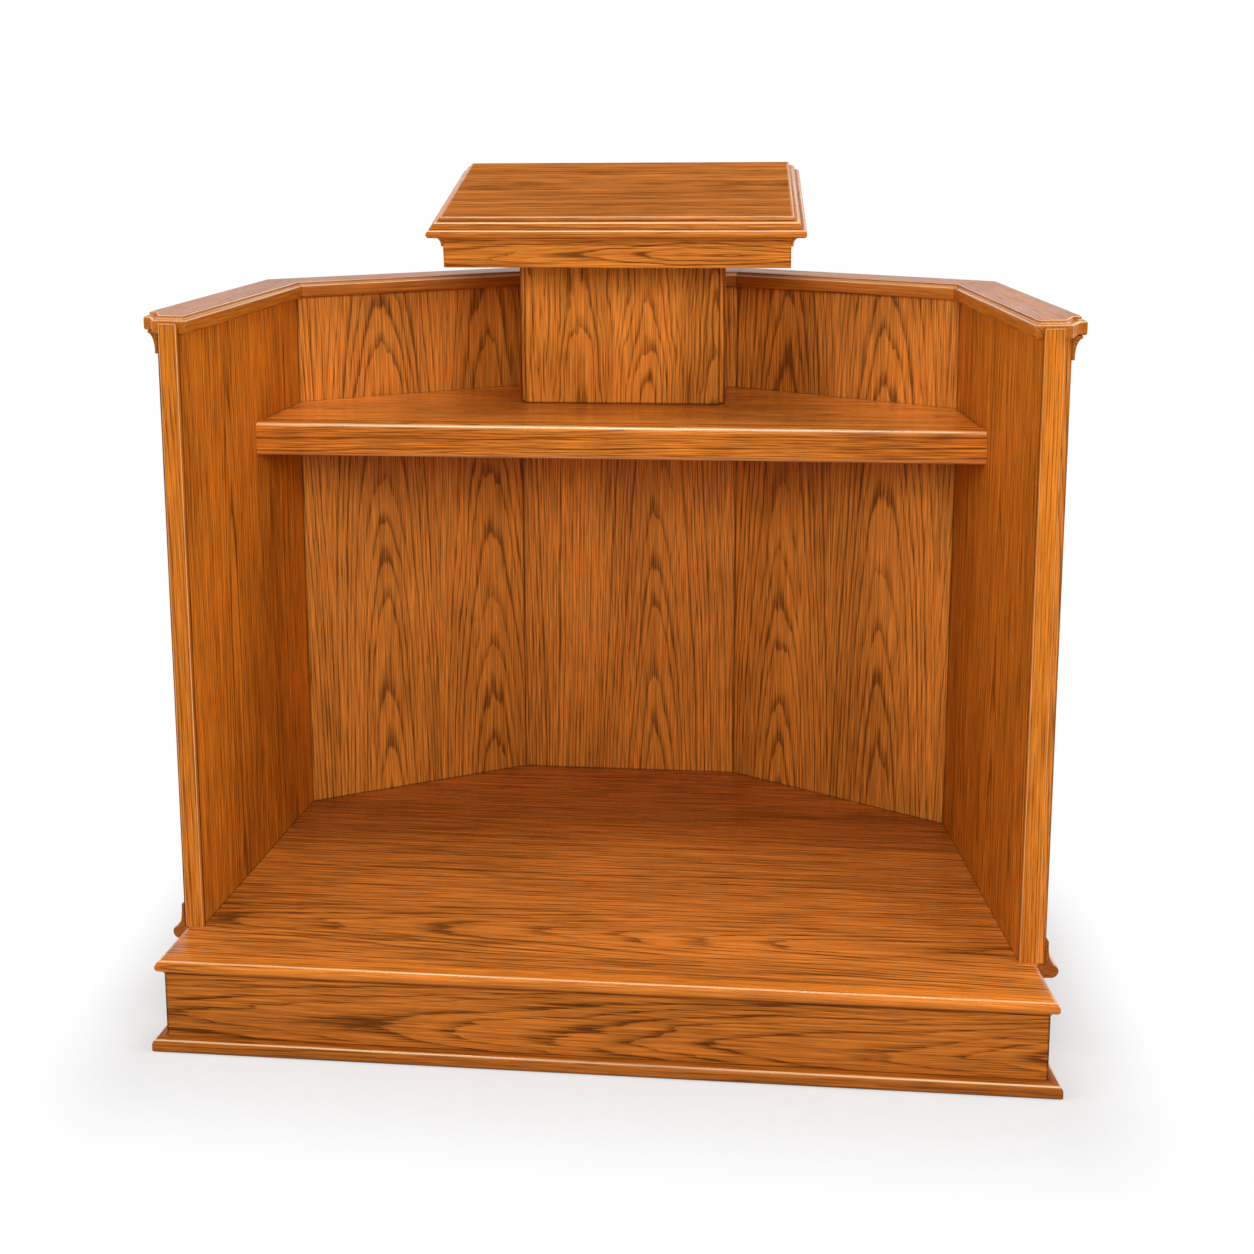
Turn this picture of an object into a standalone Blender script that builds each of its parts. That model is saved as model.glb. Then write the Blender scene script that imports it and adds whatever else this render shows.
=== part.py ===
"""An oak pulpit: five mitred walls on a low platform, a shelf inside them,
and a sloping reading desk on a box column. Metres, +Z up. The open side, where the
speaker stands, faces -Y, and left and right are the speaker's."""

import math
from collections import namedtuple

import bmesh
import bpy
from mathutils import Vector

# Driving dimensions, in metres and radians
FIT = 0.0003
ROUND_STEPS = 4

# Walls, measured on their inner faces
CENTRE_WIDTH = 0.405
DIAGONAL_WIDTH = 0.431
DIAGONAL_TURN = math.radians(28.9)
WING_WIDTH = 0.507
WING_FLARE = math.radians(6.2)
WALL_THICKNESS = 0.028
WALL_HEIGHT = 0.950
EDGE_STRIP_THICKNESS = 0.008
EDGE_STRIP_LAP = 0.017

# Cap rail over the walls
CAP_OVERHANG = 0.013
CAP_OUTER_OVERHANG = 0.047
CAP_NIB = 0.011
CAP_BODY = 0.022
CAP_ROUND = 0.004
CAP_FIELD_INSET = 0.007
CAP_FIELD_RISE = 0.006
CAP_FIELD_EASE = 0.0015
CAP_GROOVE = 0.010

# Facings and mouldings on the outside of the walls
FACING_SETBACK = 0.050
FACING_EDGE = 0.026
FACING_RAISE = 0.006
FACING_MARGIN = 0.090
FACING_BEVEL = 0.030
BED_MOULD_OUT = 0.015
BED_MOULD_HEIGHT = 0.036
BASE_MOULD_OUT = 0.021
BASE_MOULD_DROP = 0.006
BASE_MOULD_NOSE = 0.022
BASE_MOULD_RISE = 0.038
MOULD_FILLET = 0.004

# Platform
DECK_HEIGHT = 0.146
DECK_THICKNESS = 0.022
STEP_DEPTH = 0.116
NOSING_WIDTH = 0.030
NOSING_FILLET = 0.003
SKIRTING_SETBACK = 0.011
SKIRTING_THICKNESS = 0.019
SHOE_HEIGHT = 0.021
SHOE_THICKNESS = 0.017
SHOE_ROUND = 0.009
JOIST_THICKNESS = 0.038

# Shelf
SHELF_RISE = 0.762
SHELF_DEPTH = 0.418
SHELF_THICKNESS = 0.022
SHELF_EDGE_HEIGHT = 0.056
SHELF_EDGE_WIDTH = 0.030
SHELF_EDGE_TOP_ROUND = 0.012
SHELF_EDGE_LOW_ROUND = 0.009
CLEAT_THICKNESS = 0.022
CLEAT_HEIGHT = 0.030
CLEAT_END = 0.030

# Column between shelf and desk
COLUMN_WIDTH = 0.343
COLUMN_REVEAL = 0.009
COLUMN_FRONT = 0.201
COLUMN_DEPTH = 0.160
COLUMN_FACE = 0.012
COLUMN_BOARD = 0.019
HEAD_BLOCK_THICKNESS = 0.025

# Reading desk
DESK_WIDTH = 0.624
DESK_DEPTH = 0.420
DESK_TILT = math.radians(11.5)
DESK_BACK_OVERHANG = 0.0616
DESK_FRONT_RISE = 0.149
DESK_THICKNESS = 0.032
DESK_NOSE_ROUND = 0.007
DESK_OVOLO_INSET = 0.0085
DESK_OVOLO_WIDTH = 0.009
DESK_FIELD_STEP = 0.002
DESK_FIELD_RISE = 0.007
DESK_FIELD_ROUND = 0.004
APRON_INSET = 0.024
APRON_HEIGHT = 0.056
APRON_THICKNESS = 0.019
COVE_OUT = 0.015
COVE_HEIGHT = 0.019
COVE_FILLET = 0.003
BEAD_OUT = 0.010
BEAD_HEIGHT = 0.005

# Heights and places that follow from them
CAP_Z = DECK_HEIGHT + WALL_HEIGHT
SHELF_Z = DECK_HEIGHT + SHELF_RISE
DECK_UNDERSIDE = DECK_HEIGHT - DECK_THICKNESS
CAP_EDGE = WALL_THICKNESS + CAP_OUTER_OVERHANG
SKIRTING_FACE = WALL_THICKNESS - SKIRTING_SETBACK
SHOE_FACE = SKIRTING_FACE + FIT + SHOE_THICKNESS
FACING_BACK = WALL_THICKNESS + FIT
FACING_FACE = WALL_THICKNESS + FACING_EDGE
MOULD_BACK = FACING_FACE + FIT
FACING_FOOT = DECK_UNDERSIDE - BASE_MOULD_DROP

# Plan of the inner faces, with the centre wall's inner face on y = 0
DIAGONAL_CORNER = Vector((CENTRE_WIDTH / 2, 0.0))
WING_CORNER = DIAGONAL_CORNER + DIAGONAL_WIDTH * Vector((math.cos(DIAGONAL_TURN), -math.sin(DIAGONAL_TURN)))
WING_END = WING_CORNER + WING_WIDTH * Vector((math.sin(WING_FLARE), -math.cos(WING_FLARE)))
NOSING_Y = WING_END.y - STEP_DEPTH
FRONT_Y = NOSING_Y + min(0.0, WALL_THICKNESS - SHOE_FACE)
BACK_Y = max(CAP_EDGE, FACING_FACE + BASE_MOULD_OUT, SHOE_FACE)


class Side:
    """One straight side of the plan, with its outward normal and its run along the side."""

    def __init__(self, normal, point):
        self.normal = Vector(normal)
        self.reach = self.normal.dot(Vector(point))
        self.run = Vector((self.normal.y, -self.normal.x))


def mirrored(vector):
    return Vector((-vector.x, vector.y))


def both_hands(normal, point):
    """The same side on the left and on the right of the pulpit."""
    normal = Vector(normal)
    return Side(mirrored(normal), mirrored(point)), Side(normal, point)


CENTRE = Side((0.0, 1.0), (0.0, 0.0))
FRONT = Side((0.0, -1.0), (0.0, NOSING_Y + WALL_THICKNESS))
SHELF_FRONT = Side((0.0, -1.0), (0.0, -SHELF_DEPTH))
LEFT_DIAGONAL, RIGHT_DIAGONAL = both_hands((math.sin(DIAGONAL_TURN), math.cos(DIAGONAL_TURN)), WING_CORNER)
LEFT_WING, RIGHT_WING = both_hands((math.cos(WING_FLARE), math.sin(WING_FLARE)), WING_CORNER)
LEFT_END, RIGHT_END = both_hands((math.sin(WING_FLARE), -math.cos(WING_FLARE)), WING_END)

# A run of boards along one side. Each end is mitred to the next side, or cut square behind a wing's end.
Run = namedtuple("Run", "name side start end")
WALL_RUNS = (
    Run("left_wing", LEFT_WING, LEFT_END, LEFT_DIAGONAL),
    Run("left_diagonal", LEFT_DIAGONAL, LEFT_WING, CENTRE),
    Run("centre", CENTRE, LEFT_DIAGONAL, RIGHT_DIAGONAL),
    Run("right_diagonal", RIGHT_DIAGONAL, CENTRE, RIGHT_WING),
    Run("right_wing", RIGHT_WING, RIGHT_DIAGONAL, RIGHT_END),
)
BASE_RUNS = (
    Run("left_wing", LEFT_WING, FRONT, LEFT_DIAGONAL),
    *WALL_RUNS[1:4],
    Run("right_wing", RIGHT_WING, RIGHT_DIAGONAL, FRONT),
    Run("front", FRONT, RIGHT_WING, LEFT_WING),
)
SQUARE_ENDS = (LEFT_END, RIGHT_END)


def meet(side, out, other, other_out):
    """The plan point where two sides cross, each moved outward."""
    a, b = side.normal, other.normal
    reach, other_reach = side.reach + out, other.reach + other_out
    scale = a.x * b.y - a.y * b.x
    return Vector(((reach * b.y - other_reach * a.y) / scale, (other_reach * a.x - reach * b.x) / scale))


def run_start(run, out, setback):
    """Where a line along a run starts: at its mitre, or behind the square end by the setback."""
    if run.start in SQUARE_ENDS:
        return meet(run.side, out, run.start, -setback)
    return meet(run.side, out, run.start, out) + run.side.run * FIT / 2


def run_end(run, out, setback):
    if run.end in SQUARE_ENDS:
        return meet(run.side, out, run.end, -setback)
    return meet(run.side, out, run.end, out) - run.side.run * FIT / 2


def at_height(points, z):
    return [Vector((p.x, p.y, z)) for p in points]


def board_ring(run, near, far, setback, z):
    """The outline of a board along a run, between two distances from the inner face."""
    points = (
        run_start(run, near, setback),
        run_end(run, near, setback),
        run_end(run, far, setback),
        run_start(run, far, setback),
    )
    return at_height(points, z)


def arc(cut, z, radius, first, last):
    """Points of a round on a profile, between two angles in degrees."""
    steps = max(2, round(ROUND_STEPS * abs(last - first) / 90))
    angles = [math.radians(first + (last - first) * i / steps) for i in range(steps + 1)]
    return [(cut + radius * math.cos(a), z + radius * math.sin(a)) for a in angles]


def oak(name, colour, roughness):
    material = bpy.data.materials.new(name)
    material.use_nodes = True
    shader = material.node_tree.nodes["Principled BSDF"]
    shader.inputs["Base Color"].default_value = (*colour, 1.0)
    shader.inputs["Roughness"].default_value = roughness
    shader.inputs["Metallic"].default_value = 0.0
    return material


def loft(name, rings, material, parent):
    """One closed solid through outlines with equal numbers of points."""
    model = bmesh.new()
    loops = [[model.verts.new(point) for point in ring] for ring in rings]
    count = len(loops[0])
    for low, high in zip(loops, loops[1:]):
        for i in range(count):
            j = (i + 1) % count
            model.faces.new((low[i], low[j], high[j], high[i]))
    model.faces.new(reversed(loops[0]))
    model.faces.new(loops[-1])
    bmesh.ops.recalc_face_normals(model, faces=model.faces)
    mesh = bpy.data.meshes.new(name)
    model.to_mesh(mesh)
    model.free()
    mesh.materials.append(material)
    piece = bpy.data.objects.new(name, mesh)
    piece.parent = parent
    bpy.context.collection.objects.link(piece)
    return piece


def board(name, run, near, far, low, high, setback, material, parent):
    """A plain board standing along a run."""
    rings = [board_ring(run, near, far, setback, z) for z in (low, high)]
    return loft(name, rings, material, parent)


def moulding(name, run, profile, setback, material, parent):
    """A moulding along a run, from a profile of distances and heights."""
    starts = [Vector((*run_start(run, out, setback), z)) for out, z in profile]
    ends = [Vector((*run_end(run, out, setback), z)) for out, z in profile]
    return loft(name, (starts, ends), material, parent)


def box(name, low, high, material, parent):
    """A board with square ends, between two corners."""
    outline = [Vector(p) for p in ((low[0], low[1]), (high[0], low[1]), (high[0], high[1]), (low[0], high[1]))]
    return loft(name, (at_height(outline, low[2]), at_height(outline, high[2])), material, parent)


def empty(name, location, tilt, parent):
    frame = bpy.data.objects.new(name, None)
    frame.location = location
    frame.rotation_euler.x = tilt
    frame.parent = parent
    bpy.context.collection.objects.link(frame)
    return frame


def skirting_boards(material, parent):
    """Riser boards all round the platform, mitred at its six corners."""
    top = DECK_UNDERSIDE - FIT
    for run in BASE_RUNS:
        near = SKIRTING_FACE - SKIRTING_THICKNESS
        board("skirting_" + run.name, run, near, SKIRTING_FACE, 0.0, top, 0.0, material, parent)


def shoe_mouldings(material, parent):
    """Rounded shoes at the foot of the skirting."""
    near = SKIRTING_FACE + FIT
    far = SHOE_FACE
    nose = arc(far - SHOE_ROUND, SHOE_HEIGHT - SHOE_ROUND, SHOE_ROUND, 0, 90)
    profile = [(near, 0.0), (far, 0.0), *nose, (near, SHOE_HEIGHT)]
    for run in BASE_RUNS:
        moulding("shoe_" + run.name, run, profile, 0.0, material, parent)


def deck_joist(material, parent):
    """A joist on edge under the middle of the deck, from front riser to back skirting."""
    inner = SKIRTING_FACE - SKIRTING_THICKNESS - FIT
    front = -(FRONT.reach + inner)
    back = CENTRE.reach + inner
    half = JOIST_THICKNESS / 2
    box("deck_joist", (-half, front, 0.0), (half, back, DECK_UNDERSIDE - FIT), material, parent)


def nosing_profile():
    """The rounded edge of the deck over a thin fillet, as cuts back from its tip and heights."""
    radius = (DECK_THICKNESS - NOSING_FILLET) / 2
    return [(radius, DECK_UNDERSIDE), *arc(radius, DECK_HEIGHT - radius, radius, 270, 90)]


def deck_boards(material, parent):
    """The deck under walls and speaker, and the nosing along its front edge."""
    seam = WALL_THICKNESS - NOSING_WIDTH
    deck = []
    nosing = []
    for cut, z in nosing_profile():
        tip = WALL_THICKNESS - FIT - cut
        points = (
            meet(FRONT, seam - FIT, LEFT_WING, tip),
            meet(FRONT, seam - FIT, RIGHT_WING, tip),
            meet(RIGHT_WING, tip, RIGHT_END, 0.0),
            meet(RIGHT_WING, WALL_THICKNESS, RIGHT_END, 0.0),
            meet(RIGHT_WING, WALL_THICKNESS, RIGHT_DIAGONAL, WALL_THICKNESS),
            meet(RIGHT_DIAGONAL, WALL_THICKNESS, CENTRE, WALL_THICKNESS),
            meet(CENTRE, WALL_THICKNESS, LEFT_DIAGONAL, WALL_THICKNESS),
            meet(LEFT_DIAGONAL, WALL_THICKNESS, LEFT_WING, WALL_THICKNESS),
            meet(LEFT_WING, WALL_THICKNESS, LEFT_END, 0.0),
            meet(LEFT_WING, tip, LEFT_END, 0.0),
        )
        deck.append(at_height(points, z))
        strip = (
            meet(FRONT, WALL_THICKNESS - cut, LEFT_WING, tip),
            meet(FRONT, WALL_THICKNESS - cut, RIGHT_WING, tip),
            meet(FRONT, seam, RIGHT_WING, tip),
            meet(FRONT, seam, LEFT_WING, tip),
        )
        nosing.append(at_height(strip, z))
    loft("deck", deck, material, parent)
    loft("deck_nosing", nosing, material, parent)


def wall_panels(material, parent):
    """The five wall panels on the deck, mitred to each other, their tops housed in the cap rail."""
    setback = EDGE_STRIP_THICKNESS + FIT
    for run in WALL_RUNS:
        top = CAP_Z + CAP_GROOVE
        board("wall_" + run.name, run, 0.0, WALL_THICKNESS, DECK_HEIGHT + FIT, top, setback, material, parent)


def edge_strips(material, parent):
    """Solid strips over the wings' front edges, lapping the ends of the cap rails."""
    top = CAP_Z + EDGE_STRIP_LAP
    for name, wing, end in (("left", LEFT_WING, LEFT_END), ("right", RIGHT_WING, RIGHT_END)):
        points = [
            meet(wing, out, end, back)
            for out, back in (
                (0.0, -EDGE_STRIP_THICKNESS),
                (0.0, 0.0),
                (WALL_THICKNESS, 0.0),
                (WALL_THICKNESS, -EDGE_STRIP_THICKNESS),
            )
        ]
        rings = [at_height(points, z) for z in (DECK_HEIGHT + FIT, top)]
        loft("edge_strip_" + name, rings, material, parent)


def cap_profile():
    """The cap's edge from its underside up: a rounded body, then a raised field set in from it."""
    top = CAP_Z + CAP_BODY
    field = top + CAP_FIELD_RISE
    return [
        *arc(CAP_ROUND, CAP_Z + CAP_ROUND, CAP_ROUND, 270, 180),
        *arc(CAP_ROUND, top - CAP_ROUND, CAP_ROUND, 180, 90),
        (CAP_FIELD_INSET, top),
        (CAP_FIELD_INSET, field - CAP_FIELD_EASE),
        (CAP_FIELD_INSET + CAP_FIELD_EASE, field),
    ]


def cap_outline(run, cut):
    """A cap rail's plan at one cut. On a wing it is narrow in front and widens aslant to a square nib."""
    near = cut - CAP_OVERHANG
    far = CAP_EDGE - cut
    lip = WALL_THICKNESS + CAP_OVERHANG - cut
    front = EDGE_STRIP_THICKNESS + FIT + cut
    notch = FACING_SETBACK + cut
    outline = [run_start(run, near, front), run_end(run, near, front)]
    if run.end in SQUARE_ENDS:
        outline += [run_end(run, lip, front), run_end(run, far - CAP_NIB, notch)]
    outline += [run_end(run, far, notch), run_start(run, far, notch)]
    if run.start in SQUARE_ENDS:
        outline += [run_start(run, far - CAP_NIB, notch), run_start(run, lip, front)]
    return outline


def cap_rails(material, parent):
    """Cap rails mitred over the walls, each with a groove for the wall's top."""
    for run in WALL_RUNS:
        rings = [at_height(cap_outline(run, cut), z) for cut, z in cap_profile()]
        rail = loft("cap_" + run.name, rings, material, parent)
        past = run.side.run * CAP_OVERHANG
        groove = []
        for z in (CAP_Z - CAP_GROOVE, CAP_Z + CAP_GROOVE + FIT):
            points = (
                run_start(run, -FIT, 0.0) - past,
                run_end(run, -FIT, 0.0) + past,
                run_end(run, WALL_THICKNESS + FIT, 0.0) + past,
                run_start(run, WALL_THICKNESS + FIT, 0.0) - past,
            )
            groove.append(at_height(points, z))
        cutter = loft("cap_groove_" + run.name, groove, material, parent)
        cutter.hide_render = True
        cutter.display_type = "WIRE"
        cut = rail.modifiers.new("groove", "BOOLEAN")
        cut.operation = "DIFFERENCE"
        cut.solver = "EXACT"
        cut.object = cutter


def outer_facings(material, parent):
    """Boards with a raised field over the outside of each wall, mitred at the corners."""
    low = FACING_FOOT
    high = CAP_Z - 2 * FIT
    back = FACING_BACK
    edge = FACING_FACE
    face = edge + FACING_RAISE
    for run in WALL_RUNS:
        rings = []
        for out, inset in ((back, 0.0), (edge, 0.0), (edge, FACING_MARGIN), (face, FACING_MARGIN + FACING_BEVEL)):
            first = run_start(run, out, FACING_SETBACK) + run.side.run * inset
            last = run_end(run, out, FACING_SETBACK) - run.side.run * inset
            corners = ((first, low + inset), (last, low + inset), (last, high - inset), (first, high - inset))
            rings.append([Vector((point.x, point.y, z)) for point, z in corners])
        loft("facing_" + run.name, rings, material, parent)


def bed_mouldings(material, parent):
    """Cove mouldings under the cap's outer overhang."""
    top = CAP_Z - FIT
    foot = CAP_Z - BED_MOULD_HEIGHT
    out = FACING_FACE + BED_MOULD_OUT
    hollow_width = out - MOULD_BACK - MOULD_FILLET
    hollow_height = top - foot - 2 * MOULD_FILLET
    hollow = [
        (out - hollow_width * x, foot + MOULD_FILLET + hollow_height * z) for x, z in arc(0.0, 0.0, 1.0, 90, 0)
    ]
    profile = [(MOULD_BACK, top), (out, top), *hollow, (MOULD_BACK + MOULD_FILLET, foot), (MOULD_BACK, foot)]
    for run in WALL_RUNS:
        moulding("bed_mould_" + run.name, run, profile, FACING_SETBACK, material, parent)


def base_mouldings(material, parent):
    """Mouldings on the skirting that carry the facings: a round nose with a hollow above it."""
    nose = BASE_MOULD_NOSE / 2
    out = FACING_FACE + BASE_MOULD_OUT
    ledge = FACING_FOOT - FIT
    top = ledge + BASE_MOULD_RISE
    seat = SKIRTING_FACE + FIT
    hollow_width = out - nose - MOULD_BACK - MOULD_FILLET
    hollow_height = BASE_MOULD_RISE - 2 * MOULD_FILLET
    hollow = [
        (out - nose - hollow_width * x, top - MOULD_FILLET - hollow_height * z)
        for x, z in arc(0.0, 0.0, 1.0, 90, 0)
    ]
    profile = [
        (seat, ledge - BASE_MOULD_NOSE),
        *arc(out - nose, ledge - nose, nose, -90, 90),
        *hollow,
        (MOULD_BACK + MOULD_FILLET, top),
        (MOULD_BACK, top),
        (MOULD_BACK, ledge),
        (seat, ledge),
    ]
    for run in WALL_RUNS:
        moulding("base_mould_" + run.name, run, profile, FACING_SETBACK, material, parent)


def shelf(material, parent):
    """The shelf inside the walls and the deep rounded edge along its front."""
    seam = -SHELF_EDGE_WIDTH
    points = (
        meet(SHELF_FRONT, seam - FIT, LEFT_WING, -FIT),
        meet(SHELF_FRONT, seam - FIT, RIGHT_WING, -FIT),
        meet(RIGHT_WING, -FIT, RIGHT_DIAGONAL, -FIT),
        meet(RIGHT_DIAGONAL, -FIT, CENTRE, -FIT),
        meet(CENTRE, -FIT, LEFT_DIAGONAL, -FIT),
        meet(LEFT_DIAGONAL, -FIT, LEFT_WING, -FIT),
    )
    rings = [at_height(points, z) for z in (SHELF_Z - SHELF_THICKNESS, SHELF_Z)]
    loft("shelf_panel", rings, material, parent)

    low = SHELF_Z - SHELF_EDGE_HEIGHT
    profile = [
        (seam, low),
        *arc(-SHELF_EDGE_LOW_ROUND, low + SHELF_EDGE_LOW_ROUND, SHELF_EDGE_LOW_ROUND, 270, 360),
        *arc(-SHELF_EDGE_TOP_ROUND, SHELF_Z - SHELF_EDGE_TOP_ROUND, SHELF_EDGE_TOP_ROUND, 0, 90),
        (seam, SHELF_Z),
    ]
    ends = [
        [Vector((*meet(SHELF_FRONT, out, wing, -FIT), z)) for out, z in profile]
        for wing in (LEFT_WING, RIGHT_WING)
    ]
    loft("shelf_edge", ends, material, parent)


def shelf_cleats(material, parent):
    """Cleats on the walls under the shelf."""
    high = SHELF_Z - SHELF_THICKNESS - FIT
    front = -SHELF_EDGE_WIDTH - FIT
    cleats = (
        ("left", LEFT_WING, (LEFT_DIAGONAL, -CLEAT_END), (SHELF_FRONT, front)),
        ("centre", CENTRE, (LEFT_DIAGONAL, -CLEAT_END), (RIGHT_DIAGONAL, -CLEAT_END)),
        ("right", RIGHT_WING, (SHELF_FRONT, front), (RIGHT_DIAGONAL, -CLEAT_END)),
    )
    for name, wall, start, end in cleats:
        near = -FIT - CLEAT_THICKNESS
        points = (
            meet(wall, near, *start),
            meet(wall, near, *end),
            meet(wall, -FIT, *end),
            meet(wall, -FIT, *start),
        )
        rings = [at_height(points, z) for z in (high - CLEAT_HEIGHT, high)]
        loft("cleat_" + name, rings, material, parent)


COLUMN_BACK = COLUMN_DEPTH - COLUMN_FRONT
DESK_FRONT = DESK_DEPTH * math.cos(DESK_TILT) - DESK_BACK_OVERHANG - COLUMN_BACK
DESK_CORNER = Vector((0.0, -DESK_FRONT, CAP_Z + DESK_FRONT_RISE))


def under_desk(y):
    """The height of the desk board's underside at a place in the plan, less the fit."""
    below = DESK_THICKNESS + FIT
    foot_y = DESK_CORNER.y + below * math.sin(DESK_TILT)
    foot_z = DESK_CORNER.z - below * math.cos(DESK_TILT)
    return foot_z + (y - foot_y) * math.tan(DESK_TILT)


def column_boards(material, parent):
    """A box column on the shelf, its top cut to the slope of the desk. Its front board stands proud."""
    front = -COLUMN_FRONT
    side_front = front + COLUMN_FACE + FIT
    back = COLUMN_BACK
    half = COLUMN_WIDTH / 2
    outer = half + COLUMN_REVEAL
    inner = outer - COLUMN_BOARD
    boards = (
        ("column_front", -half, half, front, front + COLUMN_FACE),
        ("column_left", -outer, -inner, side_front, back),
        ("column_right", inner, outer, side_front, back),
        ("column_back", FIT - inner, inner - FIT, back - COLUMN_BOARD, back),
    )
    for name, left, right, near, far in boards:
        points = [Vector(p) for p in ((left, near), (right, near), (right, far), (left, far))]
        slope = [Vector((p.x, p.y, under_desk(p.y))) for p in points]
        loft(name, (at_height(points, SHELF_Z + FIT), slope), material, parent)


def desk_profile():
    """The desk's edge from its underside up: a round nose, an ovolo set back from it, and the field's edge."""
    nose_top = 2 * DESK_NOSE_ROUND - DESK_THICKNESS
    ovolo_height = -DESK_FIELD_RISE - nose_top
    ovolo_end = DESK_OVOLO_INSET + DESK_OVOLO_WIDTH
    ovolo = [
        (ovolo_end + DESK_OVOLO_WIDTH * x, nose_top + ovolo_height * z) for x, z in arc(0.0, 0.0, 1.0, 180, 90)
    ]
    field = ovolo_end + DESK_FIELD_STEP
    return [
        *arc(DESK_NOSE_ROUND, nose_top - DESK_NOSE_ROUND, DESK_NOSE_ROUND, 270, 90),
        *ovolo,
        (field, -DESK_FIELD_RISE),
        *arc(field + DESK_FIELD_ROUND, -DESK_FIELD_ROUND, DESK_FIELD_ROUND, 180, 90),
    ]


def reading_desk(material, parent):
    """The sloping board, its apron, the coves at its sides and the bead in front, all square to the slope."""
    rings = []
    for cut, z in desk_profile():
        x = DESK_WIDTH / 2 - cut
        far = DESK_DEPTH - cut
        rings.append([Vector((-x, cut, z)), Vector((x, cut, z)), Vector((x, far, z)), Vector((-x, far, z))])
    loft("desk_top", rings, material, parent)

    top = -DESK_THICKNESS - FIT
    low = top - APRON_HEIGHT
    half = DESK_WIDTH / 2 - APRON_INSET
    front, back = APRON_INSET, DESK_DEPTH - APRON_INSET
    behind_front = front + APRON_THICKNESS
    before_back = back - APRON_THICKNESS
    box("apron_front", (-half, front, low), (half, behind_front, top), material, parent)
    box("apron_back", (-half, before_back, low), (half, back, top), material, parent)
    inside = half - APRON_THICKNESS
    box("apron_left", (-half, behind_front + FIT, low), (-inside, before_back - FIT, top), material, parent)
    box("apron_right", (inside, behind_front + FIT, low), (half, before_back - FIT, top), material, parent)

    seat = half + FIT
    hollow_width = COVE_OUT - COVE_FILLET
    hollow_height = COVE_HEIGHT - 2 * COVE_FILLET
    hollow = [
        (seat + COVE_OUT - hollow_width * x, top - COVE_HEIGHT + COVE_FILLET + hollow_height * z)
        for x, z in arc(0.0, 0.0, 1.0, 90, 0)
    ]
    foot = top - COVE_HEIGHT
    profile = [(seat, top), (seat + COVE_OUT, top), *hollow, (seat + COVE_FILLET, foot), (seat, foot)]
    for name, hand in (("left", -1), ("right", 1)):
        ends = [[Vector((hand * x, y, z)) for x, z in profile] for y in (front, back)]
        loft("desk_cove_" + name, ends, material, parent)
    bead_low = top - BEAD_HEIGHT
    box("desk_bead_front", (-half, front - FIT - BEAD_OUT, bead_low), (half, front - FIT, top), material, parent)


def head_block(material, parent):
    """The block inside the column's top that the desk is screwed down to, square to the slope."""
    top = -DESK_THICKNESS - FIT
    half = COLUMN_WIDTH / 2 + COLUMN_REVEAL - COLUMN_BOARD - FIT
    slope = 1.0 / math.cos(DESK_TILT)
    front = (DESK_FRONT - COLUMN_FRONT + COLUMN_FACE) * slope
    back = (DESK_FRONT + COLUMN_BACK - COLUMN_BOARD) * slope
    lean = (DESK_THICKNESS + HEAD_BLOCK_THICKNESS) * math.tan(DESK_TILT)
    low = (-half, front - DESK_THICKNESS * math.tan(DESK_TILT) + FIT, top - HEAD_BLOCK_THICKNESS)
    high = (half, back - lean - FIT, top)
    box("desk_head_block", low, high, material, parent)


for old in list(bpy.data.objects):
    bpy.data.objects.remove(old)

PANEL_OAK = oak("panel_oak", (0.37, 0.10, 0.014), 0.38)
MOULDING_OAK = oak("moulding_oak", (0.50, 0.145, 0.022), 0.34)
DECK_OAK = oak("deck_oak", (0.43, 0.118, 0.016), 0.40)
DESK_OAK = oak("desk_oak", (0.50, 0.150, 0.028), 0.34)
FRAMING_PINE = oak("framing_pine", (0.56, 0.38, 0.20), 0.70)

pulpit = empty("pulpit", (0.0, -(FRONT_Y + BACK_Y) / 2, 0.0), 0.0, None)
desk_slope = empty("desk_slope", DESK_CORNER, DESK_TILT, pulpit)

skirting_boards(PANEL_OAK, pulpit)
shoe_mouldings(MOULDING_OAK, pulpit)
deck_joist(FRAMING_PINE, pulpit)
deck_boards(DECK_OAK, pulpit)
wall_panels(PANEL_OAK, pulpit)
edge_strips(MOULDING_OAK, pulpit)
cap_rails(MOULDING_OAK, pulpit)
outer_facings(PANEL_OAK, pulpit)
bed_mouldings(MOULDING_OAK, pulpit)
base_mouldings(MOULDING_OAK, pulpit)
shelf(DESK_OAK, pulpit)
shelf_cleats(FRAMING_PINE, pulpit)
column_boards(PANEL_OAK, pulpit)
reading_desk(DESK_OAK, desk_slope)
head_block(FRAMING_PINE, desk_slope)
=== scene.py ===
import math
from collections import namedtuple

import bmesh
import bpy
from mathutils import Matrix, Vector


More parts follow.
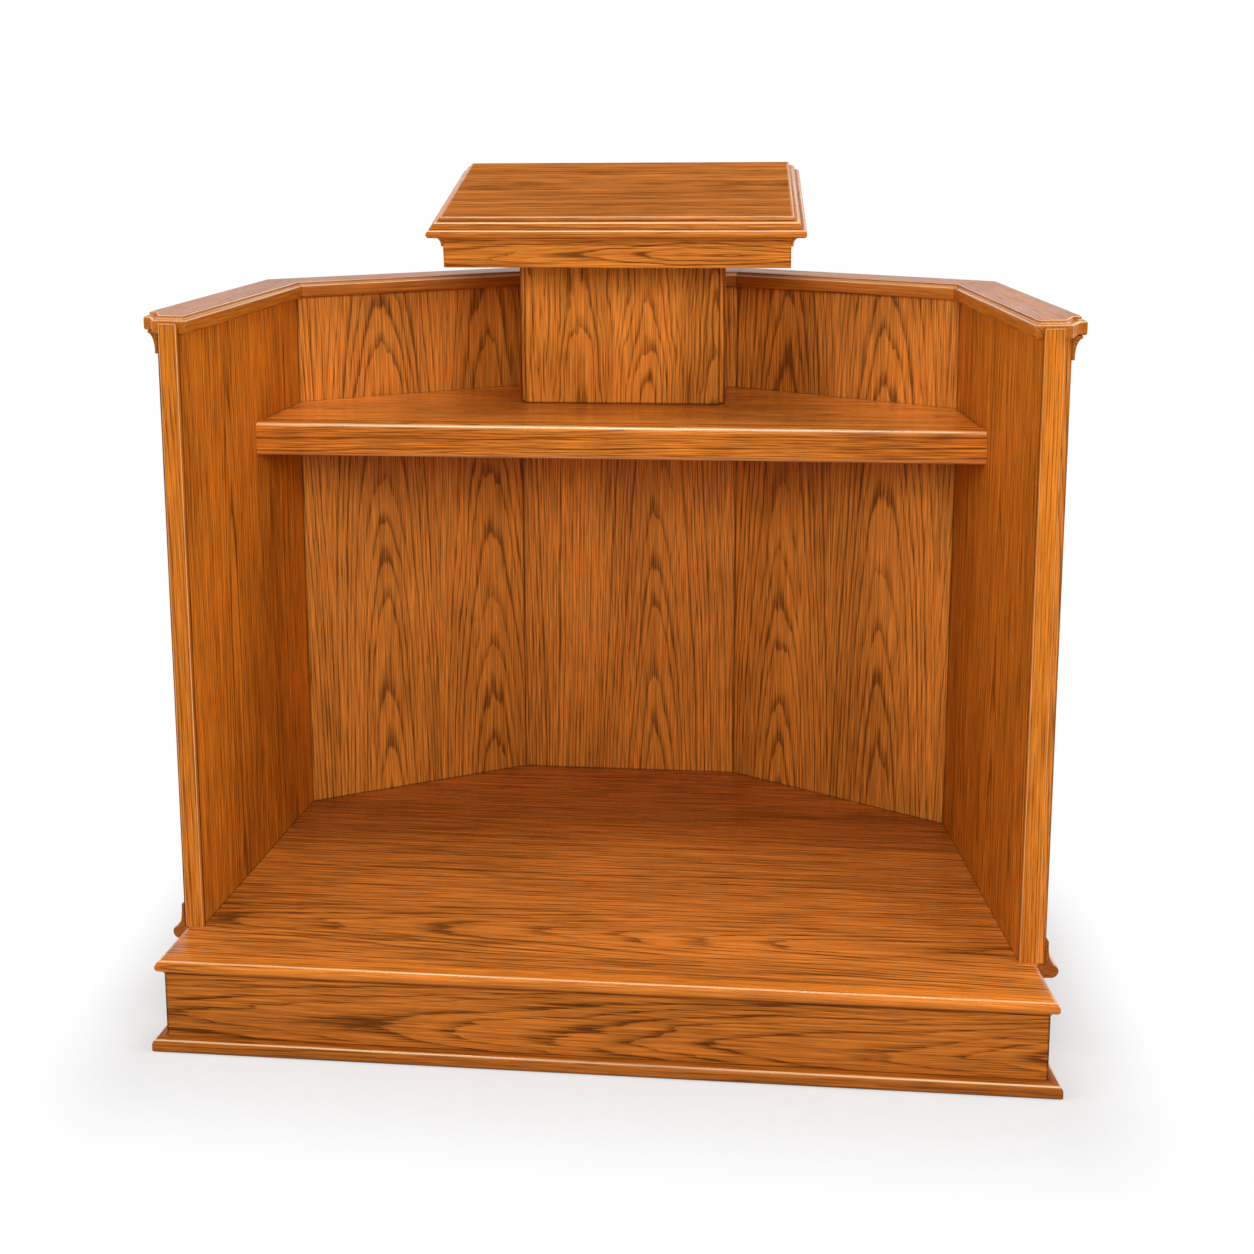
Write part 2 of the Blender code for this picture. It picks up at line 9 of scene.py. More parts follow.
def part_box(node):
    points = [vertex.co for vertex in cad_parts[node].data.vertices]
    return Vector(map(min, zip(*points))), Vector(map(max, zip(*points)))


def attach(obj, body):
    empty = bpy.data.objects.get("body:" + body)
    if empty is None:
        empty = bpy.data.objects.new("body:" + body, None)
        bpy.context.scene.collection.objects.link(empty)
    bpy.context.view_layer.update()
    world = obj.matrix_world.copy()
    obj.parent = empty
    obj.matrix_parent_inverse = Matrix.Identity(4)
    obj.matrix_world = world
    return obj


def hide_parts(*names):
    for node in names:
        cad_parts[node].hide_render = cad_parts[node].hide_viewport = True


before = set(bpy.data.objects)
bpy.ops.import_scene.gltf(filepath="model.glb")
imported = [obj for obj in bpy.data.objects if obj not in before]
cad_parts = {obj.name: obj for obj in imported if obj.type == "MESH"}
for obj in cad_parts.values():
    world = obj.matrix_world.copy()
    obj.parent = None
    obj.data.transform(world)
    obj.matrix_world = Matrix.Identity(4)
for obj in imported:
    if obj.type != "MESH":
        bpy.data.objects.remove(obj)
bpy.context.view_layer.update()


# Joist
# A softwood joist stands on edge under the middle of the deck.
# It is planed and left bare, and is nailed through the riser and the back skirting.

ACROSS = Vector((1.0, 0.0, 0.0))
BACK = Vector((0.0, 1.0, 0.0))
UP = Vector((0.0, 0.0, 1.0))


def add(tree, kind, inputs=None, **settings):
    """Put a node in a tree. Each input is a value, or a socket that feeds it."""
    made = tree.nodes.new(kind)
    for name, value in settings.items():
        setattr(made, name, value)
    for key, value in (inputs or {}).items():
        if isinstance(value, bpy.types.NodeSocket):
            tree.links.new(value, made.inputs[key])
        else:
            made.inputs[key].default_value = value
    return made


def group_sockets(tree, in_out, kind, *names):
    """Give a node group named inputs or outputs of one kind."""
    for name in names:
        tree.interface.new_socket(name, in_out=in_out, socket_type="NodeSocket" + kind)


def calc(tree, operation, first, second=0.0):
    """One sum on two values or sockets."""
    return add(tree, "ShaderNodeMath", {0: first, 1: second}, operation=operation).outputs[0]


def total(tree, first, *others):
    """Values or sockets added up."""
    for other in others:
        first = calc(tree, "ADD", first, other)
    return first


def product(tree, first, *others):
    """Values or sockets multiplied together."""
    for other in others:
        first = calc(tree, "MULTIPLY", first, other)
    return first


def fade(tree, value, start, end, low, high):
    """A value that eases from low to high between start and end."""
    inputs = {"Value": value, "From Min": start, "From Max": end, "To Min": low, "To Max": high}
    return add(tree, "ShaderNodeMapRange", inputs, interpolation_type="SMOOTHSTEP").outputs["Result"]


def triple(tree, x=0.0, y=0.0, z=0.0):
    """Three values or sockets as one vector."""
    return add(tree, "ShaderNodeCombineXYZ", {"X": x, "Y": y, "Z": z}).outputs[0]


def size_of(tree, vector):
    """The length of a vector."""
    return add(tree, "ShaderNodeVectorMath", {0: vector}, operation="LENGTH").outputs["Value"]


def streaks(tree, place, across, along, detail):
    """Noise drawn out along the grain, with its two frequencies per metre."""
    scales = (across, across, along)
    stretched = add(tree, "ShaderNodeVectorMath", {0: place, 1: scales}, operation="MULTIPLY").outputs[0]
    inputs = {"Vector": stretched, "Scale": 1.0, "Detail": detail}
    return add(tree, "ShaderNodeTexNoise", inputs).outputs["Fac"]


def swing(tree, noise, reach):
    """Noise that swings both ways from nothing, over a reach."""
    return product(tree, calc(tree, "SUBTRACT", noise, 0.5), reach)


def tinted(tree, blend, share, colour, other):
    """Two colours blended by a share."""
    mixed = add(tree, "ShaderNodeMix", {0: share, 6: colour, 7: other}, data_type="RGBA", blend_type=blend)
    return mixed.outputs[2]


# Streaks in the wood: how many to a metre across the grain and along it, and how much finer detail they have.
BENDS = (5.0, 1.1, 1.0)
RIPPLES = (34.0, 3.4, 2.0)
TREMORS = (140.0, 11.0, 2.0)
FIBRES = (540.0, 11.0, 2.0)
BANDS = (70.0, 2.6, 3.0)
VESSELS = (430.0, 22.0, 1.0)
DRIFTS = (7.0, 1.3, 2.0)
SMEARS = (16.0, 6.0, 2.0)

# The rings: how far in metres the wood pushes them about, and how one year differs from the next.
BEND_PUSH = 0.030
RIPPLE_PUSH = 0.0085
TREMOR_PUSH = 0.0024
LEAF_STAGGER = 0.613
LEAF_DEEPER = 0.013
DECADE_SCALE = 0.42
DECADE_SWING = 1.5
WEAK_YEAR = 0.35
SPRING_END = 0.46
SPRING_FALL = 1.3
AUTUMN_END = 0.90
RING_LEAST = 0.60
RING_FIBRE = 0.55
FIBRE_EDGE = (0.30, 0.70)

# The colours: where the shade lies between pale and deep, and what pores, dirt with painted shade, and a
# painted highlight do to it.
RING_MEAN = 0.20
SHADE_MEAN = 0.30
SHADE_LOW = -0.45
SHADE_HIGH = 0.92
# The dark colour for the pores, and for dirt and painted shade.
STAIN_AND_SHADE = (0.42, 0.36, 0.30, 1.0)
PORE_EDGE = (0.56, 0.70)
PORE_LEAST = 0.35
PORE_STAIN = 0.50
# Grime darkens the edge mark: dirt in the joints and painted shade.
GRIME_AND_SHADE_FALL = 1.2
GRIME_AND_SHADE_LEAST = 0.7
# A painted highlight: a pale colour along a line on the rounds.
HIGHLIGHT_COLOUR = (0.95, 0.64, 0.34, 1.0)
HIGHLIGHT_SHARE = 0.80
HIGHLIGHT_LEAST = 0.55
HIGHLIGHT_EDGE = (0.35, 0.65)

# The surface: how the varnish's gloss varies, and how far pores, rings and fibres stand in relief.
SMEAR_GLOSS = 0.16
PORE_GLOSS = 0.16
FIBRE_HEIGHT = 0.35
PORE_HEIGHT = 0.75
RING_HEIGHT = 0.30
HIGHLIGHT_FLAT = 0.3
HIGHLIGHT_HEIGHT = 0.1


def make_log_figure():
    """The figure of wood cut from a log: yearly rings round the heart, open pores and fibres, a darkened
    border of dirt and painted shade, and a painted highlight with gloss on the rounds.

    Log is the place in the log: across from the heart, out from the heart and along the grain.
    """
    tree = bpy.data.node_groups.new("log_figure", "ShaderNodeTree")
    group_sockets(tree, "INPUT", "Vector", "Log")
    group_sockets(tree, "INPUT", "Float", "Edge", "Stem", "Rub", "Leaf", "Ring", "Taper", "Wander", "Wave")
    group_sockets(tree, "INPUT", "Float", "Contrast", "Fibre", "Band", "Pores", "Grime_and_shade", "Roughness")
    group_sockets(tree, "INPUT", "Color", "Pale", "Deep")
    group_sockets(tree, "OUTPUT", "Color", "Color")
    group_sockets(tree, "OUTPUT", "Float", "Roughness", "Height", "Gloss_and_highlight_strength")
    given = tree.nodes.new("NodeGroupInput").outputs

    place = add(tree, "ShaderNodeSeparateXYZ", {0: given["Log"]}).outputs
    half_leaf = product(tree, given["Leaf"], 0.5)
    from_seam = total(tree, place["X"], half_leaf)
    side = calc(tree, "SUBTRACT", calc(tree, "PINGPONG", from_seam, given["Leaf"]), half_leaf)
    leaf = calc(tree, "FLOOR", calc(tree, "DIVIDE", from_seam, given["Leaf"]))
    length = total(tree, place["Z"], product(tree, leaf, LEAF_STAGGER), given["Stem"])
    spot = triple(tree, side, place["Y"], length)
    wavy = triple(tree, side, place["Y"], product(tree, length, given["Wave"]))
    thinning = product(tree, place["Z"], given["Taper"])
    depth = total(tree, place["Y"], thinning, product(tree, leaf, LEAF_DEEPER))
    radius = size_of(tree, triple(tree, side, depth))

    bend = swing(tree, streaks(tree, wavy, *BENDS), BEND_PUSH)
    ripple = swing(tree, streaks(tree, wavy, *RIPPLES), RIPPLE_PUSH)
    tremor = swing(tree, streaks(tree, spot, *TREMORS), TREMOR_PUSH)
    warp = product(tree, total(tree, bend, ripple, tremor), given["Wander"])
    years = calc(tree, "DIVIDE", total(tree, radius, warp), given["Ring"])
    decade_inputs = {"W": years, "Scale": DECADE_SCALE, "Detail": 1.0}
    decade = add(tree, "ShaderNodeTexNoise", decade_inputs, noise_dimensions="1D").outputs["Fac"]
    years = total(tree, years, product(tree, decade, DECADE_SWING))
    season = calc(tree, "FRACT", years)
    year = add(tree, "ShaderNodeTexWhiteNoise", {"W": calc(tree, "FLOOR", years)}, noise_dimensions="1D")
    vigour = fade(tree, year.outputs["Value"], 0.0, 1.0, WEAK_YEAR, 1.0)

    fibre = streaks(tree, spot, *FIBRES)
    band = streaks(tree, spot, *BANDS)
    vessel = streaks(tree, spot, *VESSELS)
    drift = streaks(tree, spot, *DRIFTS)
    spring = calc(tree, "POWER", fade(tree, season, 0.0, SPRING_END, 1.0, 0.0), SPRING_FALL)
    onset = fade(tree, season, AUTUMN_END, 1.0, 0.0, 1.0)
    broken = total(tree, RING_LEAST, product(tree, fade(tree, fibre, *FIBRE_EDGE, 0.0, 1.0), RING_FIBRE))
    ring_shade = product(tree, calc(tree, "MAXIMUM", spring, onset), vigour, broken)
    pore_share = total(tree, PORE_LEAST, product(tree, spring, 1.0 - PORE_LEAST))
    pore = product(tree, fade(tree, vessel, *PORE_EDGE, 0.0, 1.0), pore_share, given["Pores"])

    rings = product(tree, calc(tree, "SUBTRACT", ring_shade, RING_MEAN), given["Contrast"])
    shade = total(
        tree, rings, SHADE_MEAN, swing(tree, drift, 1.0), swing(tree, fibre, given["Fibre"]),
        swing(tree, band, given["Band"]),
    )
    shade = add(tree, "ShaderNodeClamp", {"Value": shade, "Min": SHADE_LOW, "Max": SHADE_HIGH}).outputs[0]
    ramp = add(tree, "ShaderNodeMix", {0: shade, 6: given["Pale"], 7: given["Deep"]}, data_type="RGBA")
    ramp.clamp_factor = False
    stain_and_shade = tinted(tree, "MULTIPLY", 1.0, given["Deep"], STAIN_AND_SHADE)
    colour = tinted(tree, "MIX", product(tree, pore, PORE_STAIN), ramp.outputs[2], stain_and_shade)
    # The edge mark darkens towards the stain: dirt in the joints, and painted shade in corners and recesses.
    grime_and_shade = calc(tree, "POWER", given["Edge"], GRIME_AND_SHADE_FALL)
    grime_and_shade = product(tree, grime_and_shade, fade(tree, fibre, *FIBRE_EDGE, GRIME_AND_SHADE_LEAST, 1.0), given["Grime_and_shade"])
    colour = tinted(tree, "MIX", grime_and_shade, colour, stain_and_shade)
    # Painted highlight: the marked line is lightened towards a pale colour, and the same share drives the
    # coat's gloss.
    gloss_and_highlight_strength = product(tree, given["Rub"], fade(tree, drift, *HIGHLIGHT_EDGE, HIGHLIGHT_LEAST, 1.0))
    colour = tinted(tree, "MIX", product(tree, gloss_and_highlight_strength, HIGHLIGHT_SHARE), colour, HIGHLIGHT_COLOUR)

    smear = swing(tree, streaks(tree, spot, *SMEARS), SMEAR_GLOSS)
    gloss = total(tree, given["Roughness"], smear, product(tree, pore, PORE_GLOSS))
    height = product(tree, fibre, FIBRE_HEIGHT)
    height = calc(tree, "SUBTRACT", height, product(tree, pore, PORE_HEIGHT))
    height = calc(tree, "SUBTRACT", height, product(tree, ring_shade, RING_HEIGHT))
    height = product(tree, height, fade(tree, given["Rub"], 0.0, HIGHLIGHT_FLAT, 1.0, HIGHLIGHT_HEIGHT))
    add(tree, "NodeGroupOutput", {"Color": colour, "Roughness": gloss, "Height": height, "Gloss_and_highlight_strength": gloss_and_highlight_strength})
    return tree


LOG_FIGURE = make_log_figure()
UNBROKEN = 10.0
RELIEF_DEPTH = 0.0005
POLISH_ROUGHNESS = 0.15
POLISH_IOR = 1.5


def wood_finish(name, pale, deep, ring, taper=0.05, wander=1.0, wave=1.0, contrast=0.9, fibre=2.2, band=0.7,
                leaf=UNBROKEN, pores=1.0, grime_and_shade=0.6, roughness=0.42, shine=0.08, relief=0.35):
    """A wood with its own growth and colours under its varnish.

    A ring is a year's growth and a leaf a sheet of veneer, both in metres. The log thins along its length by
    its taper, and its rings wander. Shine is the varnish's reflection, seen most at a low angle.
    """
    material = bpy.data.materials.new(name)
    material.use_nodes = True
    tree = material.node_tree
    inputs = {
        "Leaf": leaf, "Ring": ring, "Taper": taper, "Wander": wander, "Wave": wave, "Contrast": contrast,
        "Fibre": fibre, "Band": band, "Pores": pores, "Grime_and_shade": grime_and_shade, "Roughness": roughness,
        "Pale": (*pale, 1.0), "Deep": (*deep, 1.0),
        "Log": add(tree, "ShaderNodeAttribute", attribute_name="log").outputs["Vector"],
    }
    for mark in ("edge", "stem", "rub"):
        inputs[mark.capitalize()] = add(tree, "ShaderNodeAttribute", attribute_name=mark).outputs["Fac"]
    figure = add(tree, "ShaderNodeGroup", inputs, node_tree=LOG_FIGURE).outputs
    bump_inputs = {"Strength": relief, "Distance": RELIEF_DEPTH, "Height": figure["Height"]}
    bump = add(tree, "ShaderNodeBump", bump_inputs)
    shader = tree.nodes["Principled BSDF"]
    tree.links.new(figure["Color"], shader.inputs["Base Color"])
    tree.links.new(figure["Roughness"], shader.inputs["Roughness"])
    tree.links.new(bump.outputs["Normal"], shader.inputs["Normal"])
    tree.links.new(figure["Gloss_and_highlight_strength"], shader.inputs["Coat Weight"])
    shader.inputs["Coat Roughness"].default_value = POLISH_ROUGHNESS
    shader.inputs["Coat IOR"].default_value = POLISH_IOR
    shader.inputs["Specular IOR Level"].default_value = shine
    return material


def show(name, mesh, slot):
    """Hang a finished mesh on the pulpit in place of the solid of the same name."""
    wood = "pine" if slot == "framing_pine" else "oak"
    piece = bpy.data.objects.new(name + "_" + wood, mesh)
    bpy.context.scene.collection.objects.link(piece)
    normals = piece.modifiers.new("even_faces", "WEIGHTED_NORMAL")
    normals.keep_sharp = True
    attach(piece, "root")
    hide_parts(name)


class Cut:
    """How a board lies in the log it was sawn from.

    Its face looks out from the heart and its grain runs along. From a corner of the board, the heart lies
    some way across and the log's middle some depth in. The shift says how far up the stem it was cut.
    """

    def __init__(self, corner, face, along, heart, depth, shift):
        self.corner = corner
        self.face = face
        self.along = along
        self.across = face.cross(along)
        self.heart = heart
        self.depth = depth
        self.shift = shift

    def place(self, point):
        """Where a point lies in the log: across from the heart, out from it and along the grain."""
        reach = point - self.corner
        return (reach.dot(self.across) - self.heart, reach.dot(self.face) + self.depth, reach.dot(self.along))


class Marks:
    """What the finish reads at each point of a board: its place in the log, dirt with painted shade, and a
    painted highlight with gloss.
    """

    def __init__(self, shape, cut):
        self.cut = cut
        self.log = shape.verts.layers.float_vector.new("log")
        self.edge = shape.verts.layers.float.new("edge")
        self.stem = shape.verts.layers.float.new("stem")
        self.rub = shape.verts.layers.float.new("rub")

    def put(self, vert, soil, rub):
        """Mark one point."""
        vert[self.log] = self.cut.place(vert.co)
        vert[self.stem] = self.cut.shift
        vert[self.edge] = soil
        vert[self.rub] = rub


SHARP_EDGE = math.radians(38.0)
WORKED_EDGE = math.radians(50.0)
ONE_PLANE = math.radians(1.0)
ROUND_STEP = math.radians(8.0)
# Rounds that face between these angles from the board's face get a painted highlight.
HIGHLIGHT_FROM = math.radians(25.0)
HIGHLIGHT_TO = math.radians(60.0)
SAME_POINT = 1e-5
EASE_STEPS = 2
EASE_FULLNESS = 0.6
BROAD = 0.010
BORDER = 0.003


def flats(faces):
    """Faces in groups, each of neighbours that lie in one plane."""
    groups = []
    waiting = set(faces)
    for first in faces:
        if first not in waiting:
            continue
        waiting.discard(first)
        group = [first]
        for face in group:
            for line in face.edges:
                for other in line.link_faces:
                    if other in waiting and other.normal.angle(face.normal) < ONE_PLANE:
                        waiting.discard(other)
                        group.append(other)
        groups.append(group)
    return groups


def in_highlight_band(vert, face):
    """Whether a point lies on a round, turned from the face by the angles where a highlight is painted."""
    bends = [line.calc_face_angle(0.0) for line in vert.link_edges if line.is_convex]
    on_round = any(ROUND_STEP < bend < SHARP_EDGE for bend in bends)
    return on_round and HIGHLIGHT_FROM < vert.normal.angle(face) < HIGHLIGHT_TO


def finish_mesh(name, shape, finishes, slot):
    """Make a plain mesh of a shape, put its finishes on it and show it."""
    mesh = bpy.data.meshes.new(name)
    shape.to_mesh(mesh)
    shape.free()
    for finish in finishes:
        mesh.materials.append(finish)
    show(name, mesh, slot)


def board(name, finish, slot, cut, ease, highlighted=False, crisp=SHARP_EDGE, border=BORDER):
    """A planed board with eased arrises and a darkened border: dirt in the joints and painted shade where
    parts meet.

    A highlighted one has a painted highlight and gloss along its rounds. Edges that turn by more than the
    crisp angle stay sharp.
    """
    shape = bmesh.new()
    shape.from_mesh(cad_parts[name].data)
    bmesh.ops.remove_doubles(shape, verts=shape.verts, dist=SAME_POINT)
    bmesh.ops.dissolve_limit(shape, angle_limit=ONE_PLANE, verts=shape.verts, edges=shape.edges)
    arrises = [line for line in shape.edges if line.is_convex and line.calc_face_angle(0.0) > SHARP_EDGE]
    eased = bmesh.ops.bevel(
        shape, geom=arrises, offset=ease, segments=EASE_STEPS, profile=EASE_FULLNESS, affect="EDGES",
        clamp_overlap=True,
    )
    rounds = set(eased["faces"])
    # Rounds and a thin border are darkened: dirt in the joints, and painted shade where parts meet.
    dirt_and_shade_marks = set(rounds)
    plain = [face for face in shape.faces if face not in rounds]
    broad = [face for face in plain if 2.0 * face.calc_area() > BROAD * face.calc_perimeter()]
    for flat in flats(broad):
        inset = bmesh.ops.inset_region(
            shape, faces=flat, thickness=border, use_even_offset=True, use_boundary=True
        )
        dirt_and_shade_marks.update(inset["faces"])
    shape.normal_update()
    marks = Marks(shape, cut)
    for vert in shape.verts:
        in_border = all(face in dirt_and_shade_marks for face in vert.link_faces)
        marks.put(vert, float(in_border), float(highlighted and in_highlight_band(vert, cut.face)))
    for face in shape.faces:
        face.smooth = True
    for line in shape.edges:
        worked = any(face in rounds for face in line.link_faces)
        line.smooth = line.calc_face_angle(0.0) < (WORKED_EDGE if worked else crisp)
    finish_mesh(name, shape, (finish,), slot)


BARE_PINE = wood_finish(
    "bare_pine", pale=(0.66, 0.43, 0.22), deep=(0.45, 0.23, 0.08), ring=0.0042, taper=0.02, contrast=0.8,
    pores=0.15, roughness=0.62, shine=0.1, relief=0.5,
)
JOIST_CORNER = Vector((0.0, 0.0, 0.06))
joist_cut = Cut(JOIST_CORNER, ACROSS, BACK, heart=0.02, depth=0.05, shift=3.0)
board("deck_joist", BARE_PINE, "framing_pine", joist_cut, ease=0.002)


# Skirting
# Six straight-grained oak boards stand on edge round the platform, mitred at the corners.
# The one in front is the riser of the step, cut from a bold piece near the heart.

CENTRE_CORNER = Vector((0.2025, 0.379815, 0.0))
WING_CORNER = Vector((0.57982, 0.171515, 0.0))
RISER_CORNER = Vector((0.64414, -0.420515, 0.0))
SKIRTING_APART = 2.3


def left_hand(corner):
    """The same corner on the left."""
    return Vector((-corner.x, corner.y, corner.z))


class Run:
    """One straight side of the plan, going clockwise seen from above, with the slants of its two ends."""

    def __init__(self, name, start, end):
        self.name = name
        self.start = start
        self.along = (end - start).normalized()
        self.out = UP.cross(self.along)
        self.length = (end - start).length
        self.turn = math.atan2(self.along.y, self.along.x)
        self.start_slant = 0.0
        self.end_slant = 0.0

    def mitre(self, following):
        """Slant this run's end and the next run's start to meet on one line."""
        slant = math.tan(self.out.angle(following.out) / 2)
        self.end_slant = slant
        following.start_slant = -slant


RUN_NAMES = ("left_wing", "left_diagonal", "centre", "right_diagonal", "right_wing", "front")
PLATFORM_CORNERS = (
    left_hand(RISER_CORNER), left_hand(WING_CORNER), left_hand(CENTRE_CORNER),
    CENTRE_CORNER, WING_CORNER, RISER_CORNER,
)
PLATFORM_ENDS = PLATFORM_CORNERS[1:] + PLATFORM_CORNERS[:1]
PLATFORM_RUNS = [Run(*ends) for ends in zip(RUN_NAMES, PLATFORM_CORNERS, PLATFORM_ENDS)]
for run, following in zip(PLATFORM_RUNS, PLATFORM_RUNS[1:] + PLATFORM_RUNS[:1]):
    run.mitre(following)

# Its strong edge darkening is dirt in the joints and also painted shade, such as the nosing's shadow on its
# top.
RISER_OAK = wood_finish(
    "riser_oak", pale=(0.480, 0.138, 0.018), deep=(0.100, 0.026, 0.003), ring=0.0056, taper=0.036,
    contrast=1.05, fibre=2.4, band=0.5, grime_and_shade=0.95, shine=0.03,
)
for i, run in enumerate(PLATFORM_RUNS):
    cut = Cut(run.start, run.out, run.along, heart=-0.055, depth=0.034, shift=SKIRTING_APART * i)
    board("skirting_" + run.name, RISER_OAK, "panel_oak", cut, ease=0.0008)


# Shoe mouldings
# A quarter-round oak strip runs round the foot of the skirting, mitred at every corner.
# It is run off in lengths on a spindle moulder, cut to the mitres and pinned.

CURVE_STEP = 5.0
JOINT = 0.00015
WELD = 1e-6
MITRED = (0.0, 0.0)


def section_of(node):
    """How far out a solid of the centre run starts and ends, from the plan's line, and its foot and top."""
    low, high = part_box(node)
    return low.y - CENTRE_CORNER.y, high.y - CENTRE_CORNER.y, low.z, high.z


# A point of a profile, with its painted highlight and gloss there, and its darkening of dirt and painted
# shade.
Point = namedtuple("Point", "out up rub soil", defaults=(0.0, 0.0))


def curve(centre, radii, first, last, line=0.0, spread=0.0, rub=1.0):
    """Points on a round from one angle in degrees to another. A painted highlight with gloss lies in a line
    at one angle.
    """
    points = []
    steps = round(abs(last - first) / CURVE_STEP)
    for step in range(steps + 1):
        degrees = first + (last - first) * step / steps
        angle = math.radians(degrees)
        bright = rub * max(0.0, 1.0 - ((degrees - line) / spread) ** 2) if spread else 0.0
        out = centre[0] + radii[0] * math.cos(angle)
        up = centre[1] + radii[1] * math.sin(angle)
        points.append(Point(out, up, rub=bright))
    return points


def make_moulding_run():
    """A profile drawn out along a straight run, with slanted ends, then turned and set in its place."""
    tree = bpy.data.node_groups.new("moulding_run", "GeometryNodeTree")
    group_sockets(tree, "INPUT", "Geometry", "Profile")
    group_sockets(tree, "INPUT", "Float", "Length", "Start Slant", "End Slant", "Turn")
    group_sockets(tree, "INPUT", "Vector", "Heart", "Place")
    group_sockets(tree, "INPUT", "Material", "Oak")
    group_sockets(tree, "OUTPUT", "Geometry", "Moulding")
    given = tree.nodes.new("NodeGroupInput").outputs

    drawing = {"Mesh": given["Profile"], "Offset": triple(tree, given["Length"]), "Individual": False}
    drawn = add(tree, "GeometryNodeExtrudeMesh", drawing, mode="FACES").outputs["Mesh"]
    near_end = add(tree, "GeometryNodeFlipFaces", {"Mesh": given["Profile"]}).outputs["Mesh"]
    closed = add(tree, "GeometryNodeJoinGeometry", {"Geometry": drawn})
    tree.links.new(near_end, closed.inputs["Geometry"])
    welding = {"Geometry": closed.outputs[0], "Distance": WELD}
    welded = add(tree, "GeometryNodeMergeByDistance", welding).outputs[0]

    spot = tree.nodes.new("GeometryNodeInputPosition").outputs[0]
    place = add(tree, "ShaderNodeSeparateXYZ", {0: spot}).outputs
    share = calc(tree, "DIVIDE", place["X"], given["Length"])
    slant = add(tree, "ShaderNodeMix", {0: share, 2: given["Start Slant"], 3: given["End Slant"]}).outputs[0]
    shift = triple(tree, product(tree, slant, place["Y"]))
    mitred = add(tree, "GeometryNodeSetPosition", {"Geometry": welded, "Offset": shift}).outputs[0]

    spot = tree.nodes.new("GeometryNodeInputPosition").outputs[0]
    place = add(tree, "ShaderNodeSeparateXYZ", {0: spot}).outputs
    in_log = triple(tree, place["Y"], place["Z"], place["X"])
    in_log = add(tree, "ShaderNodeVectorMath", {0: in_log, 1: given["Heart"]}, operation="ADD").outputs[0]
    marking = {"Geometry": mitred, "Name": "log", "Value": in_log}
    marked = add(tree, "GeometryNodeStoreNamedAttribute", marking, data_type="FLOAT_VECTOR", domain="POINT")

    smooth = add(tree, "GeometryNodeSetShadeSmooth", {"Geometry": marked.outputs[0], "Shade Smooth": True})
    bend = tree.nodes.new("GeometryNodeInputMeshEdgeAngle").outputs["Unsigned Angle"]
    sharp = calc(tree, "GREATER_THAN", bend, SHARP_EDGE)
    creasing = {"Geometry": smooth.outputs[0], "Selection": sharp, "Shade Smooth": False}
    creased = add(tree, "GeometryNodeSetShadeSmooth", creasing, domain="EDGE")
    turned = triple(tree, z=given["Turn"])
    placing = {"Geometry": creased.outputs[0], "Translation": given["Place"], "Rotation": turned}
    placed = add(tree, "GeometryNodeTransform", placing)
    real = add(tree, "GeometryNodeRealizeInstances", {"Geometry": placed.outputs[0]})
    oak = add(tree, "GeometryNodeSetMaterial", {"Geometry": real.outputs[0], "Material": given["Oak"]})
    add(tree, "NodeGroupOutput", {"Moulding": oak.outputs[0]})
    return tree


MOULDING_RUN = make_moulding_run()


def moulding(name, finish, slot, profile, run, heart, setbacks=MITRED):
    """A moulding of one profile along a run.

    An end with a setback is cut square, and the other ends are mitred. The heart says where the run's start
    lies in the log: across, out from the heart and up the stem.
    """
    start_back, end_back = setbacks
    start_gap = start_back or JOINT
    end_gap = end_back or JOINT
    section = bpy.data.meshes.new(name + "_profile")
    corners = [(0.0, point.out, point.up) for point in profile]
    section.from_pydata(corners, [], [tuple(range(len(corners)))])
    highlighted = section.attributes.new("rub", "FLOAT", "POINT")
    highlighted.data.foreach_set("value", [point.rub for point in profile])
    dirt_and_shade_marks = section.attributes.new("edge", "FLOAT", "POINT")
    dirt_and_shade_marks.data.foreach_set("value", [point.soil for point in profile])
    blank = bpy.data.objects.new(name + "_blank", section)
    bpy.context.scene.collection.objects.link(blank)
    drawing = blank.modifiers.new("moulding_run", "NODES")
    drawing.node_group = MOULDING_RUN
    items = MOULDING_RUN.interface.items_tree
    identifiers = {item.name: item.identifier for item in items if item.in_out == "INPUT"}
    for socket, value in (
        ("Length", run.length - start_gap - end_gap),
        ("Start Slant", 0.0 if start_back else run.start_slant),
        ("End Slant", 0.0 if end_back else run.end_slant),
        ("Heart", heart),
        ("Turn", run.turn),
        ("Place", run.start + run.along * start_gap),
        ("Oak", finish),
    ):
        drawing[identifiers[socket]] = value
    drawn = blank.evaluated_get(bpy.context.evaluated_depsgraph_get())
    mesh = bpy.data.meshes.new_from_object(drawn)
    blank.modifiers.clear()
    bpy.data.objects.remove(blank)
    mesh.name = name
    show(name, mesh, slot)


MOULDING_OAK = wood_finish(
    "moulding_oak", pale=(0.390, 0.109, 0.011), deep=(0.130, 0.031, 0.003), ring=0.0045, taper=0.012,
    contrast=0.7, fibre=2.0, grime_and_shade=1.0, roughness=0.26,
)
SHOE_NEAR, SHOE_FAR, SHOE_FOOT, SHOE_TOP = section_of("shoe_centre")
SHOE_ROUND = 0.009
SHOE_BEVEL = 0.0025
SHOE_SOIL = 0.004
SHOE_HEART = (0.05, 0.03)
SHOE_APART = 1.7
shoe_middle = (SHOE_FAR - SHOE_ROUND, SHOE_TOP - SHOE_ROUND)
